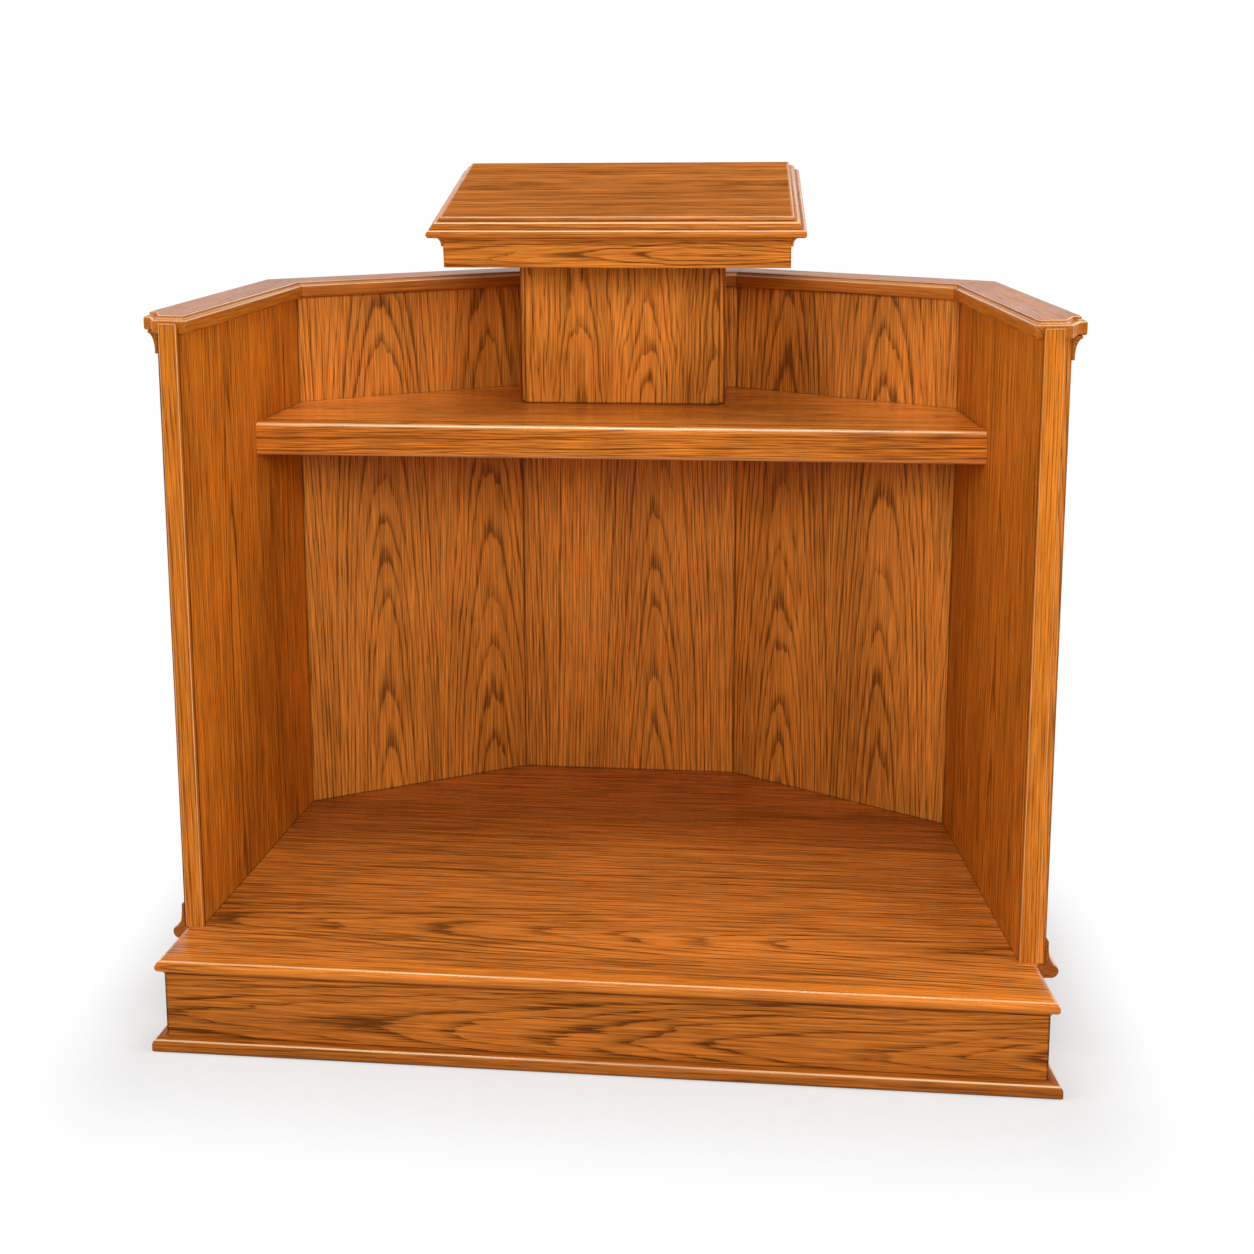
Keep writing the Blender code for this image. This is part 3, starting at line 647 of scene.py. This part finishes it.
# The bevel at the foot is darkened as a painted contact shadow, the top against the riser as dirt in the
# joint, and the round has a painted highlight.
SHOE_PROFILE = [
    Point(SHOE_NEAR, SHOE_FOOT),
    Point(SHOE_FAR - SHOE_BEVEL, SHOE_FOOT, soil=1.0),
    Point(SHOE_FAR, SHOE_FOOT + SHOE_BEVEL, soil=0.8),
    Point(SHOE_FAR, SHOE_FOOT + 2 * SHOE_BEVEL),
    *curve(shoe_middle, (SHOE_ROUND, SHOE_ROUND), 0, 90, line=50, spread=11),
    Point(SHOE_NEAR + SHOE_SOIL, SHOE_TOP),
    Point(SHOE_NEAR, SHOE_TOP, soil=1.0),
]
for i, run in enumerate(PLATFORM_RUNS):
    heart = (*SHOE_HEART, SHOE_APART * i)
    moulding("shoe_" + run.name, MOULDING_OAK, "moulding_oak", SHOE_PROFILE, run, heart)


# Deck
# The deck is one wide flat-sawn oak panel with its grain from side to side.
# A solid nosing with a rounded front and a fillet under it is glued along the front edge.

DECK_OAK = wood_finish(
    "deck_oak", pale=(0.560, 0.170, 0.024), deep=(0.110, 0.032, 0.005), ring=0.0068, taper=-0.034, wander=1.1,
    contrast=1.05, fibre=2.6, band=0.9, roughness=0.24, shine=0.3,
)
NOSING_OAK = wood_finish(
    "nosing_oak", pale=(0.600, 0.176, 0.020), deep=(0.200, 0.049, 0.004), ring=0.0052, taper=0.01, wander=0.9,
    contrast=0.8, band=1.2, roughness=0.24,
)
NOSING_LOW, NOSING_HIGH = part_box("deck_nosing")
NOSING_ROUND = 0.0095
NOSING_TIP = 0.0277
DECK_CORNER = Vector((0.30, -0.13, 0.146))
deck_cut = Cut(DECK_CORNER, UP, ACROSS, heart=-0.17, depth=0.06, shift=0.0)
board("deck", DECK_OAK, "deck_oak", deck_cut, ease=0.0006)


def worked_board(name, finishes, slot, cut, profile, rings):
    """A board with a profile worked round its edge, from one ring of corners for each point of the profile.

    The last finish is for the flat that the last ring encloses.
    """
    shape = bmesh.new()
    marks = Marks(shape, cut)
    loops = []
    for ring, point in zip(rings, profile):
        loops.append([shape.verts.new(corner) for corner in ring])
        for vert in loops[-1]:
            marks.put(vert, point.soil, point.rub)
    for lower, upper in zip(loops, loops[1:]):
        for i in range(len(lower)):
            shape.faces.new((lower[i - 1], lower[i], upper[i], upper[i - 1]))
    shape.faces.new(reversed(loops[0]))
    shape.faces.new(loops[-1]).material_index = len(finishes) - 1
    shape.normal_update()
    for face in shape.faces:
        face.smooth = True
    for line in shape.edges:
        line.smooth = line.calc_face_angle(0.0) < SHARP_EDGE
    finish_mesh(name, shape, finishes, slot)


def with_painted_shade(point):
    """The same point of a profile, darkened there as painted shade in a recess."""
    return point._replace(soil=1.0)


def wing_side(y, reach):
    """A point at one depth, at a reach outside the inner face of the right wing."""
    wing = PLATFORM_RUNS[RUN_NAMES.index("right_wing")]
    spot = wing.start + wing.out * reach
    return spot + wing.along * ((y - spot.y) / wing.along.y)


nosing_middle = (NOSING_ROUND, NOSING_HIGH.z - NOSING_ROUND)
# The underside and the fillet are darkened as painted shade under the nosing, and the round has a painted
# highlight.
fillet, *front_round = curve(nosing_middle, (NOSING_ROUND, NOSING_ROUND), 270, 90, line=115, spread=11)
nosing_profile = [Point(NOSING_ROUND, NOSING_LOW.z, soil=1.0), with_painted_shade(fillet), *front_round]
nosing_rings = []
for point in nosing_profile:
    front = wing_side(NOSING_LOW.y + point.out, NOSING_TIP - point.out)
    back = wing_side(NOSING_HIGH.y, NOSING_TIP - point.out)
    corners = ((-front.x, front.y), (front.x, front.y), (back.x, back.y), (-back.x, back.y))
    nosing_rings.append([Vector((x, y, point.up)) for x, y in corners])
nosing_cut = Cut(DECK_CORNER, UP, ACROSS, heart=0.0, depth=0.05, shift=4.0)
worked_board("deck_nosing", (NOSING_OAK,), "deck_oak", nosing_cut, nosing_profile, nosing_rings)


# Walls
# Five oak-veneered panels stand round the deck, mitred and glued where they meet.
# The veneer leaves are cut from one flitch and turned over side by side, heart up.

LEAF = 0.21
WING_END = Vector((0.63458, -0.332515, 0.0))
WALL_APART = 1.9
WALL_CORNERS = (
    left_hand(WING_END), left_hand(WING_CORNER), left_hand(CENTRE_CORNER),
    CENTRE_CORNER, WING_CORNER, WING_END,
)
WALL_RUNS = [Run(*ends) for ends in zip(RUN_NAMES, WALL_CORNERS, WALL_CORNERS[1:])]
for run, following in zip(WALL_RUNS, WALL_RUNS[1:]):
    run.mitre(following)

VENEER_GRAIN = {"ring": 0.0068, "taper": 0.06, "contrast": 0.95, "fibre": 2.3, "band": 0.6}
VENEER_OAK = wood_finish(
    "veneer_oak", pale=(0.650, 0.215, 0.027), deep=(0.145, 0.044, 0.006), wander=0.9, leaf=LEAF, grime_and_shade=0.8,
    **VENEER_GRAIN,
)
WIDE_VENEER_OAK = wood_finish(
    "wide_veneer_oak", pale=(0.745, 0.250, 0.032), deep=(0.170, 0.052, 0.008), wander=0.9, leaf=2 * LEAF,
    grime_and_shade=0.8, **VENEER_GRAIN,
)
WING_OAK = wood_finish(
    "wing_oak", pale=(0.550, 0.152, 0.011), deep=(0.100, 0.024, 0.002), ring=0.0058, taper=0.02, wander=0.8,
    leaf=2 * LEAF, fibre=2.5, band=1.1, grime_and_shade=0.8,
)
# Each wall's veneer, and how far across the wall its heart lies.
WALL_VENEERS = {
    "left_wing": (WING_OAK, 0.60),
    "left_diagonal": (VENEER_OAK, 0.155),
    "centre": (WIDE_VENEER_OAK, 0.258),
    "right_diagonal": (VENEER_OAK, 0.095),
    "right_wing": (WING_OAK, -0.12),
}
for i, run in enumerate(WALL_RUNS):
    veneer, heart = WALL_VENEERS[run.name]
    cut = Cut(run.start, run.out, UP, heart, depth=0.03, shift=WALL_APART * i)
    board("wall_" + run.name, veneer, "panel_oak", cut, ease=0.0006)


# Edge strips
# A thin solid oak strip covers the front edge of each wing and laps the end of its cap rail.
# It is glued on, flushed off and eased along its long edges.

STRIP_OAK = wood_finish(
    "strip_oak", pale=(0.580, 0.170, 0.015), deep=(0.215, 0.053, 0.004), ring=0.0040, taper=0.01, wander=0.9,
    contrast=1.0, fibre=2.4, grime_and_shade=0.2, roughness=0.3, shine=0.06,
)
left_front = -WALL_RUNS[0].along
right_front = WALL_RUNS[-1].along
left_strip_cut = Cut(left_hand(WING_END), left_front, UP, heart=0.06, depth=0.05, shift=4.0)
right_strip_cut = Cut(WING_END, right_front, UP, heart=0.06, depth=0.05, shift=6.0)
# Their eased long edges have a painted highlight with gloss.
board("edge_strip_left", STRIP_OAK, "moulding_oak", left_strip_cut, ease=0.0012, highlighted=True)
board("edge_strip_right", STRIP_OAK, "moulding_oak", right_strip_cut, ease=0.0012, highlighted=True)


# Base mouldings
# An oak moulding with a round nose and a hollow above it goes round the outside at deck level.
# It sits on the skirting, carries the facings and is mitred at the corners.

BASE_NEAR, BASE_FAR, BASE_FOOT, BASE_TOP = section_of("base_mould_centre")
BASE_NOSE = 0.011
BASE_LIP = 0.004
HOLLOW_HEIGHT = 0.030
FACING_FACE = 0.0543
FACING_SETBACK = 0.050
BASE_HEART = (0.02, -0.06)
BASE_LOG = 9.0
BASE_APART = 1.3
WING_SETBACKS = {"left_wing": (FACING_SETBACK, 0.0), "right_wing": (0.0, FACING_SETBACK)}
nose_middle = BASE_FAR - BASE_NOSE
nose_top = BASE_FOOT + 2 * BASE_NOSE
hollow_reach = (nose_middle - FACING_FACE - BASE_LIP, HOLLOW_HEIGHT)
# The nose has a painted highlight.
BASE_PROFILE = [
    Point(BASE_NEAR, BASE_FOOT),
    *curve((nose_middle, BASE_FOOT + BASE_NOSE), (BASE_NOSE, BASE_NOSE), -90, 90, line=60, spread=14),
    *curve((nose_middle, BASE_TOP - BASE_LIP), hollow_reach, 270, 180),
    Point(FACING_FACE + BASE_LIP, BASE_TOP),
    Point(FACING_FACE, BASE_TOP),
    Point(FACING_FACE, nose_top),
    Point(BASE_NEAR, nose_top),
]
for i, run in enumerate(WALL_RUNS):
    setbacks = WING_SETBACKS.get(run.name, MITRED)
    heart = (*BASE_HEART, BASE_LOG + BASE_APART * i)
    moulding("base_mould_" + run.name, MOULDING_OAK, "moulding_oak", BASE_PROFILE, run, heart, setbacks)


# Facings
# The outside of every wall has an oak board with a raised and bevelled field.
# The boards stand on the base moulding and meet in mitres at the corners.

FACING_OAK = wood_finish(
    "facing_oak", pale=(0.620, 0.198, 0.022), deep=(0.150, 0.043, 0.005), leaf=LEAF, grime_and_shade=0.9,
    **VENEER_GRAIN,
)
FIELD_LINE = math.radians(5.0)
FACING_LOG = 12.0
for i, run in enumerate(WALL_RUNS):
    cut = Cut(run.start, run.out, UP, heart=0.12, depth=0.03, shift=FACING_LOG + WALL_APART * i)
    board("facing_" + run.name, FACING_OAK, "panel_oak", cut, ease=0.0008, crisp=FIELD_LINE)


# Bed mouldings
# A small oak cove fills the angle between each facing and the cap rail's overhang.
# It is glued and pinned, and mitred at the corners like the base moulding.

BED_NEAR, BED_FAR, BED_FOOT, BED_TOP = section_of("bed_mould_centre")
BED_FILLET = 0.004
BED_HEART = (0.02, -1.04)
BED_LOG = 21.0
cove_reach = (BED_FAR - BED_NEAR - BED_FILLET, BED_TOP - BED_FOOT - 2 * BED_FILLET)
BED_PROFILE = [
    Point(BED_NEAR, BED_TOP),
    Point(BED_NEAR, BED_FOOT),
    Point(BED_NEAR + BED_FILLET, BED_FOOT),
    *curve((BED_FAR, BED_FOOT + BED_FILLET), cove_reach, 180, 90),
    Point(BED_FAR, BED_TOP),
]
for i, run in enumerate(WALL_RUNS):
    setbacks = WING_SETBACKS.get(run.name, MITRED)
    heart = (*BED_HEART, BED_LOG + BASE_APART * i)
    moulding("bed_mould_" + run.name, MOULDING_OAK, "moulding_oak", BED_PROFILE, run, heart, setbacks)


# Cap rails
# A solid oak rail lies over each wall with the wall's top in a groove under it.
# Its upper edge is rounded below a low raised field, and the rails are mitred and glued.

CAP_OAK = wood_finish(
    "cap_oak", pale=(0.480, 0.138, 0.012), deep=(0.190, 0.046, 0.003), ring=0.0050, taper=0.015, contrast=0.7,
    roughness=0.30, shine=0.13,
)
CAP_LOG = 30.0
CAP_APART = 1.1
# Each rail's upper round has a painted highlight with gloss.
for i, run in enumerate(WALL_RUNS):
    cut = Cut(run.start, UP, run.along, heart=-0.05, depth=-1.07, shift=CAP_LOG + CAP_APART * i)
    board("cap_" + run.name, CAP_OAK, "moulding_oak", cut, ease=0.0006, highlighted=True)


# Cleats
# Three softwood cleats are screwed to the walls under the shelf and carry it.
# They are planed and left bare.

for side, run in (("left", WALL_RUNS[0]), ("centre", WALL_RUNS[2]), ("right", WALL_RUNS[4])):
    cut = Cut(run.start, run.out, run.along, heart=-0.87, depth=0.06, shift=6.0)
    board("cleat_" + side, BARE_PINE, "framing_pine", cut, ease=0.0015)


# Shelf
# An oak panel lies on the cleats between the walls, with its grain from side to side.
# A deep solid edge with a bead along its top is glued to the front of it.

SHELF_OAK = wood_finish(
    "shelf_oak", pale=(0.840, 0.268, 0.036), deep=(0.210, 0.058, 0.007), ring=0.0060, taper=0.02, wander=1.2,
    contrast=0.7, fibre=2.4, band=1.3, grime_and_shade=0.9, roughness=0.24, shine=0.3,
)
SHELF_EDGE_OAK = wood_finish(
    "shelf_edge_oak", pale=(0.670, 0.200, 0.023), deep=(0.185, 0.048, 0.005), ring=0.0042, taper=0.012,
    wander=1.2, contrast=1.0, fibre=2.6, band=0.8, grime_and_shade=0.9, roughness=0.26, shine=0.06,
)
SHELF_LOW, SHELF_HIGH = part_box("shelf_edge")
SHELF_TOP = SHELF_HIGH.z
SHELF_EDGE_DEPTH = SHELF_HIGH.y - SHELF_LOW.y
SHELF_EDGE_ROUND = 0.009
SHELF_EDGE_SOIL = 0.002
SHELF_EDGE_HEART = (0.07, -0.80, 2.0)
SHELF_BORDER = 0.009
BEAD_ROUND = 0.012
GROOVE_TOP = SHELF_TOP - 0.0174
GROOVE_FOOT = SHELF_TOP - 0.0196
GROOVE_DEPTH = 0.0012
GROOVE_SLOPE = 0.0008
FLARE = math.radians(6.2)
shelf_cut = Cut(Vector((0.0, 0.10, SHELF_TOP)), UP, ACROSS, heart=0.0, depth=0.05, shift=8.0)
# The panel's wide darkened border is dirt in the joints and painted shade in the corners against the walls.
board("shelf_panel", SHELF_OAK, "desk_oak", shelf_cut, ease=0.0005, border=SHELF_BORDER)

shelf_half = WING_CORNER.x + (WING_CORNER.y - SHELF_LOW.y) * math.tan(FLARE) - JOINT
shelf_right = Vector((shelf_half, SHELF_LOW.y, 0.0))
shelf_run = Run("shelf_edge", shelf_right, left_hand(shelf_right))
shelf_run.start_slant = -math.tan(FLARE)
shelf_run.end_slant = math.tan(FLARE)
foot_middle = (-SHELF_EDGE_ROUND, SHELF_LOW.z + SHELF_EDGE_ROUND)
bead_middle = (-BEAD_ROUND, SHELF_TOP - BEAD_ROUND)
# The foot round and the bead have painted highlights, and the back of the top is darkened as dirt in the
# joint with the panel.
SHELF_EDGE_PROFILE = [
    Point(-SHELF_EDGE_DEPTH, SHELF_LOW.z),
    *curve(foot_middle, (SHELF_EDGE_ROUND, SHELF_EDGE_ROUND), 270, 360, line=325, spread=24, rub=0.3),
    Point(0.0, GROOVE_FOOT),
    Point(-GROOVE_DEPTH, GROOVE_FOOT + GROOVE_SLOPE),
    Point(-GROOVE_DEPTH, GROOVE_TOP - GROOVE_SLOPE),
    Point(0.0, GROOVE_TOP),
    *curve(bead_middle, (BEAD_ROUND, BEAD_ROUND), 0, 90, line=50, spread=18),
    Point(SHELF_EDGE_SOIL - SHELF_EDGE_DEPTH, SHELF_TOP),
    Point(-SHELF_EDGE_DEPTH, SHELF_TOP, soil=0.8),
]
moulding("shelf_edge", SHELF_EDGE_OAK, "desk_oak", SHELF_EDGE_PROFILE, shelf_run, SHELF_EDGE_HEART)


# Column
# A box of four oak boards stands on the shelf, its top cut to the slope of the desk.
# The front board is wider than the box and stands proud of the two side boards.

# Its strong edge darkening is dirt in the joints and also painted shade at the reveals.
COLUMN_OAK = wood_finish(
    "column_oak", pale=(0.665, 0.211, 0.026), deep=(0.155, 0.044, 0.005), ring=0.0062, wander=1.4, wave=2.6,
    leaf=0.12, grime_and_shade=1.0, shine=0.04,
)
COLUMN_FOOT = Vector((0.045, 0.1788, 0.908))
COLUMN_SIDES = {"front": (-BACK, 0.0), "back": (BACK, 2.0), "left": (-ACROSS, 0.0), "right": (ACROSS, 2.0)}
for side, (face, shift) in COLUMN_SIDES.items():
    cut = Cut(COLUMN_FOOT, face, UP, heart=0.0, depth=0.035, shift=shift)
    board("column_" + side, COLUMN_OAK, "panel_oak", cut, ease=0.0012)


# Head block
# A softwood block is glued into the top of the column, planed to the slope of the desk.
# The desk top is screwed to it from below.

HEAD_CORNER = Vector((0.0, 0.26, 1.28))
head_cut = Cut(HEAD_CORNER, UP, ACROSS, heart=0.03, depth=0.05, shift=0.0)
board("desk_head_block", BARE_PINE, "framing_pine", head_cut, ease=0.001)


# Reading desk top
# A thick oak top slopes up towards the back, with its grain from side to side.
# Its edge is worked to a round nose and an ovolo under a low raised field.

DESK_OAK = wood_finish(
    "desk_field_oak", pale=(0.590, 0.187, 0.037), deep=(0.140, 0.039, 0.006), ring=0.0050, taper=0.015,
    wander=1.1, contrast=0.45, fibre=2.4, band=1.5, roughness=0.45, shine=0.0,
)
DESK_EDGE_OAK = wood_finish(
    "desk_edge_oak", pale=(0.600, 0.182, 0.020), deep=(0.210, 0.053, 0.004), ring=0.0050, taper=0.01,
    wander=1.1, contrast=0.7, band=1.2, grime_and_shade=0.9, roughness=0.24,
)
TILT = math.radians(11.5)
SLOPE = Vector((0.0, math.cos(TILT), math.sin(TILT)))
SLOPE_FACE = Vector((0.0, -math.sin(TILT), math.cos(TILT)))
DESK_CORNER = Vector((0.0, -0.011153, 1.245))
DESK_HALF = 0.312
DESK_DEPTH = 0.420
DESK_THICKNESS = 0.032
DESK_NOSE = 0.007
NOSE_TOP = 2 * DESK_NOSE - DESK_THICKNESS
OVOLO_END = 0.0175
OVOLO_WIDTH = 0.009
FIELD_RISE = 0.007
FIELD_CUT = 0.0195
FIELD_ROUND = 0.004
# How far past the field's round the painted highlight stops.
FIELD_HIGHLIGHT_END = 0.0015
nose_centre = (DESK_NOSE, NOSE_TOP - DESK_NOSE)
ovolo_centre = (OVOLO_END, NOSE_TOP)
field_centre = (FIELD_CUT + FIELD_ROUND, -FIELD_ROUND)
ovolo_radii = (OVOLO_WIDTH, -FIELD_RISE - NOSE_TOP)
# The nose, the ovolo and the field's round have painted highlights, and the quirks between them are darkened
# as painted shade.
*nose, nose_end = curve(nose_centre, (DESK_NOSE, DESK_NOSE), 270, 90, line=125, spread=16, rub=0.7)
ovolo_start, *ovolo = curve(ovolo_centre, ovolo_radii, 180, 90, line=115, spread=14, rub=0.8)
field = curve(field_centre, (FIELD_ROUND, FIELD_ROUND), 180, 90, line=115, spread=22, rub=0.6)
desk_profile = [
    *nose,
    with_painted_shade(nose_end),
    with_painted_shade(ovolo_start),
    *ovolo,
    Point(FIELD_CUT, -FIELD_RISE, soil=1.0),
    *field,
    Point(FIELD_CUT + FIELD_ROUND + FIELD_HIGHLIGHT_END, 0.0),
]
desk_rings = []
for point in desk_profile:
    half = DESK_HALF - point.out
    far = DESK_DEPTH - point.out
    corners = ((-half, point.out), (half, point.out), (half, far), (-half, far))
    raised = SLOPE_FACE * point.up
    desk_rings.append([DESK_CORNER + ACROSS * x + SLOPE * y + raised for x, y in corners])
desk_cut = Cut(DESK_CORNER, SLOPE_FACE, ACROSS, heart=0.23, depth=0.25, shift=2.0)
worked_board("desk_top", (DESK_EDGE_OAK, DESK_OAK), "desk_oak", desk_cut, desk_profile, desk_rings)


# Apron
# Four oak boards stand under the desk top and hide its fixing to the column.
# The front one is cut near the heart and boldly figured; they are glued and screwed up from below.

APRON_OAK = wood_finish(
    "apron_oak", pale=(0.640, 0.202, 0.026), deep=(0.150, 0.039, 0.004), ring=0.0065, wander=1.2, wave=2.5,
    fibre=2.4, grime_and_shade=0.2, shine=0.04,
)
APRON_SIDES = {
    "front": (-SLOPE, ACROSS), "back": (SLOPE, ACROSS), "left": (-ACROSS, SLOPE), "right": (ACROSS, SLOPE),
}
for side, (face, along) in APRON_SIDES.items():
    cut = Cut(DESK_CORNER, face, along, heart=-0.066, depth=0.012, shift=4.0)
    board("apron_" + side, APRON_OAK, "desk_oak", cut, ease=0.0010)


# Desk mouldings
# A cove runs under each side of the desk top, and a thin bead under its front edge.
# Both are oak, glued into the angle between the top and the apron.

for name, side in (("desk_cove_left", "left"), ("desk_cove_right", "right"), ("desk_bead_front", "front")):
    cut = Cut(DESK_CORNER, *APRON_SIDES[side], heart=0.03, depth=0.02, shift=7.0)
    board(name, STRIP_OAK, "desk_oak", cut, ease=0.0004)


# Studio
# A pale seamless floor runs out to a white backdrop, under soft lamps.
# The camera stands in front of the open side, a little to the right and above the cap rail.

FLOOR_HALF = 7.0
FLOOR_ROUGHNESS = 0.75
FLOOR_SHINE = 0.1
GRIT_SCALE = 40.0
PAINT_DARKEST = 0.60
PAINT_PALEST = 0.62
SHADE_HALF_WIDTH = 0.67
SHADE_FRONT = -0.45
SHADE_BACK = 0.0
SHADE_REACH = {"side": 0.20, "front": 0.30, "back": 0.50}
WHITE_LEAST = 0.42
WHITE = (1.0, 1.0, 1.0, 1.0)
AMBIENT = 0.10


def seen_rays(tree):
    """One for a ray from the camera, or from a glossy or clear surface, and nothing for the others."""
    path = add(tree, "ShaderNodeLightPath").outputs
    seen = calc(tree, "MAXIMUM", path["Is Camera Ray"], path["Is Glossy Ray"])
    return calc(tree, "MAXIMUM", seen, path["Is Transmission Ray"])


def beyond(tree, distance, reach):
    """How far past nothing a distance goes, as a share of a reach."""
    return calc(tree, "DIVIDE", calc(tree, "MAXIMUM", distance, 0.0), reach)


floor_mesh = bpy.data.meshes.new("floor")
floor_corners = [
    (-FLOOR_HALF, -FLOOR_HALF, 0.0), (FLOOR_HALF, -FLOOR_HALF, 0.0),
    (FLOOR_HALF, FLOOR_HALF, 0.0), (-FLOOR_HALF, FLOOR_HALF, 0.0),
]
floor_mesh.from_pydata(floor_corners, [], [(0, 1, 2, 3)])
floor = bpy.data.objects.new("floor", floor_mesh)
bpy.context.scene.collection.objects.link(floor)
floor_paint = bpy.data.materials.new("pale_floor")
floor_paint.use_nodes = True
floor_mesh.materials.append(floor_paint)
tree = floor_paint.node_tree
spot = add(tree, "ShaderNodeTexCoord").outputs["Object"]
grit = add(tree, "ShaderNodeTexNoise", {"Vector": spot, "Scale": GRIT_SCALE}).outputs["Fac"]
shade = fade(tree, grit, 0.3, 0.7, PAINT_DARKEST, PAINT_PALEST)
paint = add(tree, "ShaderNodeCombineColor", {"Red": shade, "Green": shade, "Blue": shade}).outputs[0]
shader = tree.nodes["Principled BSDF"]
tree.links.new(paint, shader.inputs["Base Color"])
shader.inputs["Roughness"].default_value = FLOOR_ROUGHNESS
shader.inputs["Specular IOR Level"].default_value = FLOOR_SHINE
place = add(tree, "ShaderNodeSeparateXYZ", {0: spot}).outputs
beside = calc(tree, "SUBTRACT", calc(tree, "ABSOLUTE", place["X"]), SHADE_HALF_WIDTH)
before = calc(tree, "SUBTRACT", SHADE_FRONT, place["Y"])
behind = calc(tree, "SUBTRACT", place["Y"], SHADE_BACK)
away = triple(
    tree, beyond(tree, beside, SHADE_REACH["side"]), beyond(tree, before, SHADE_REACH["front"]),
    beyond(tree, behind, SHADE_REACH["back"]),
)
fading = fade(tree, size_of(tree, away), 0.0, 1.0, WHITE_LEAST, 1.0)
white = add(tree, "ShaderNodeEmission", {"Color": WHITE, "Strength": 1.0}).outputs[0]
whitened = product(tree, seen_rays(tree), fading)
ground = add(tree, "ShaderNodeMixShader", {0: whitened, 1: shader.outputs[0], 2: white}).outputs[0]
tree.links.new(ground, tree.nodes["Material Output"].inputs["Surface"])

world = bpy.data.worlds.new("studio")
bpy.context.scene.world = world
world.use_nodes = True
tree = world.node_tree
tree.nodes.clear()
strength = add(tree, "ShaderNodeMix", {0: seen_rays(tree), 2: AMBIENT, 3: 1.0}).outputs[0]
sky = add(tree, "ShaderNodeBackground", {"Color": WHITE, "Strength": strength})
add(tree, "ShaderNodeOutputWorld", {"Surface": sky.outputs[0]})

MIDDLE = Vector((0.0, 0.0, 0.6))
OPEN_SIDE = Vector((0.0, -0.3, 0.6))


def lamp(name, place, aim, width, height, power):
    """A soft box lamp aimed at a point, with its size in metres and its power in watts."""
    light = bpy.data.lights.new(name, "AREA")
    light.shape = "RECTANGLE"
    light.size = width
    light.size_y = height
    light.energy = power
    stand = bpy.data.objects.new(name, light)
    stand.location = place
    stand.rotation_euler = (aim - Vector(place)).to_track_quat("-Z", "Y").to_euler()
    bpy.context.scene.collection.objects.link(stand)


lamp("key_lamp", (3.1, -2.4, 2.2), MIDDLE, width=1.4, height=1.4, power=49.0)
lamp("fill_lamp", (-3.0, -1.9, 1.9), MIDDLE, width=1.3, height=1.6, power=41.0)
lamp("right_lamp", (3.0, -0.65, 1.3), OPEN_SIDE, width=0.8, height=1.6, power=39.0)
lamp("left_lamp", (-3.0, -0.65, 1.3), OPEN_SIDE, width=0.8, height=1.6, power=30.6)
lamp("front_lamp", (0.2, -3.8, 2.3), MIDDLE, width=1.6, height=1.2, power=64.0)
lamp("top_lamp", (0.1, -0.4, 4.6), MIDDLE, width=2.8, height=0.6, power=73.0)

IMAGE_PIXELS = 1254.0
FOCAL_PIXELS = 1709.6
SHIFT_RIGHT_PIXELS = 80.0
SHIFT_UP_PIXELS = -230.0
SENSOR = 36.0
CAMERA_PLACE = Vector((0.1967, -2.793585, 1.4357))
YAW = 0.1104
PITCH = 0.1710
ROLL = -0.0088
ahead = Vector((-math.sin(YAW) * math.cos(PITCH), math.cos(YAW) * math.cos(PITCH), -math.sin(PITCH)))
level = Vector((math.cos(YAW), math.sin(YAW), 0.0))
upright = level.cross(ahead)
image_right = level * math.cos(ROLL) + upright * math.sin(ROLL)
image_up = upright * math.cos(ROLL) - level * math.sin(ROLL)
turned = Matrix((image_right, image_up, -ahead)).transposed().to_4x4()
lens = bpy.data.cameras.new("camera")
lens.sensor_width = SENSOR
lens.lens = FOCAL_PIXELS * SENSOR / IMAGE_PIXELS
lens.shift_x = SHIFT_RIGHT_PIXELS / IMAGE_PIXELS
lens.shift_y = SHIFT_UP_PIXELS / IMAGE_PIXELS
camera = bpy.data.objects.new("camera", lens)
camera.matrix_world = Matrix.Translation(CAMERA_PLACE) @ turned
bpy.context.scene.collection.objects.link(camera)
bpy.context.scene.camera = camera
bpy.context.scene.view_settings.view_transform = "Standard"

bpy.context.view_layer.update()
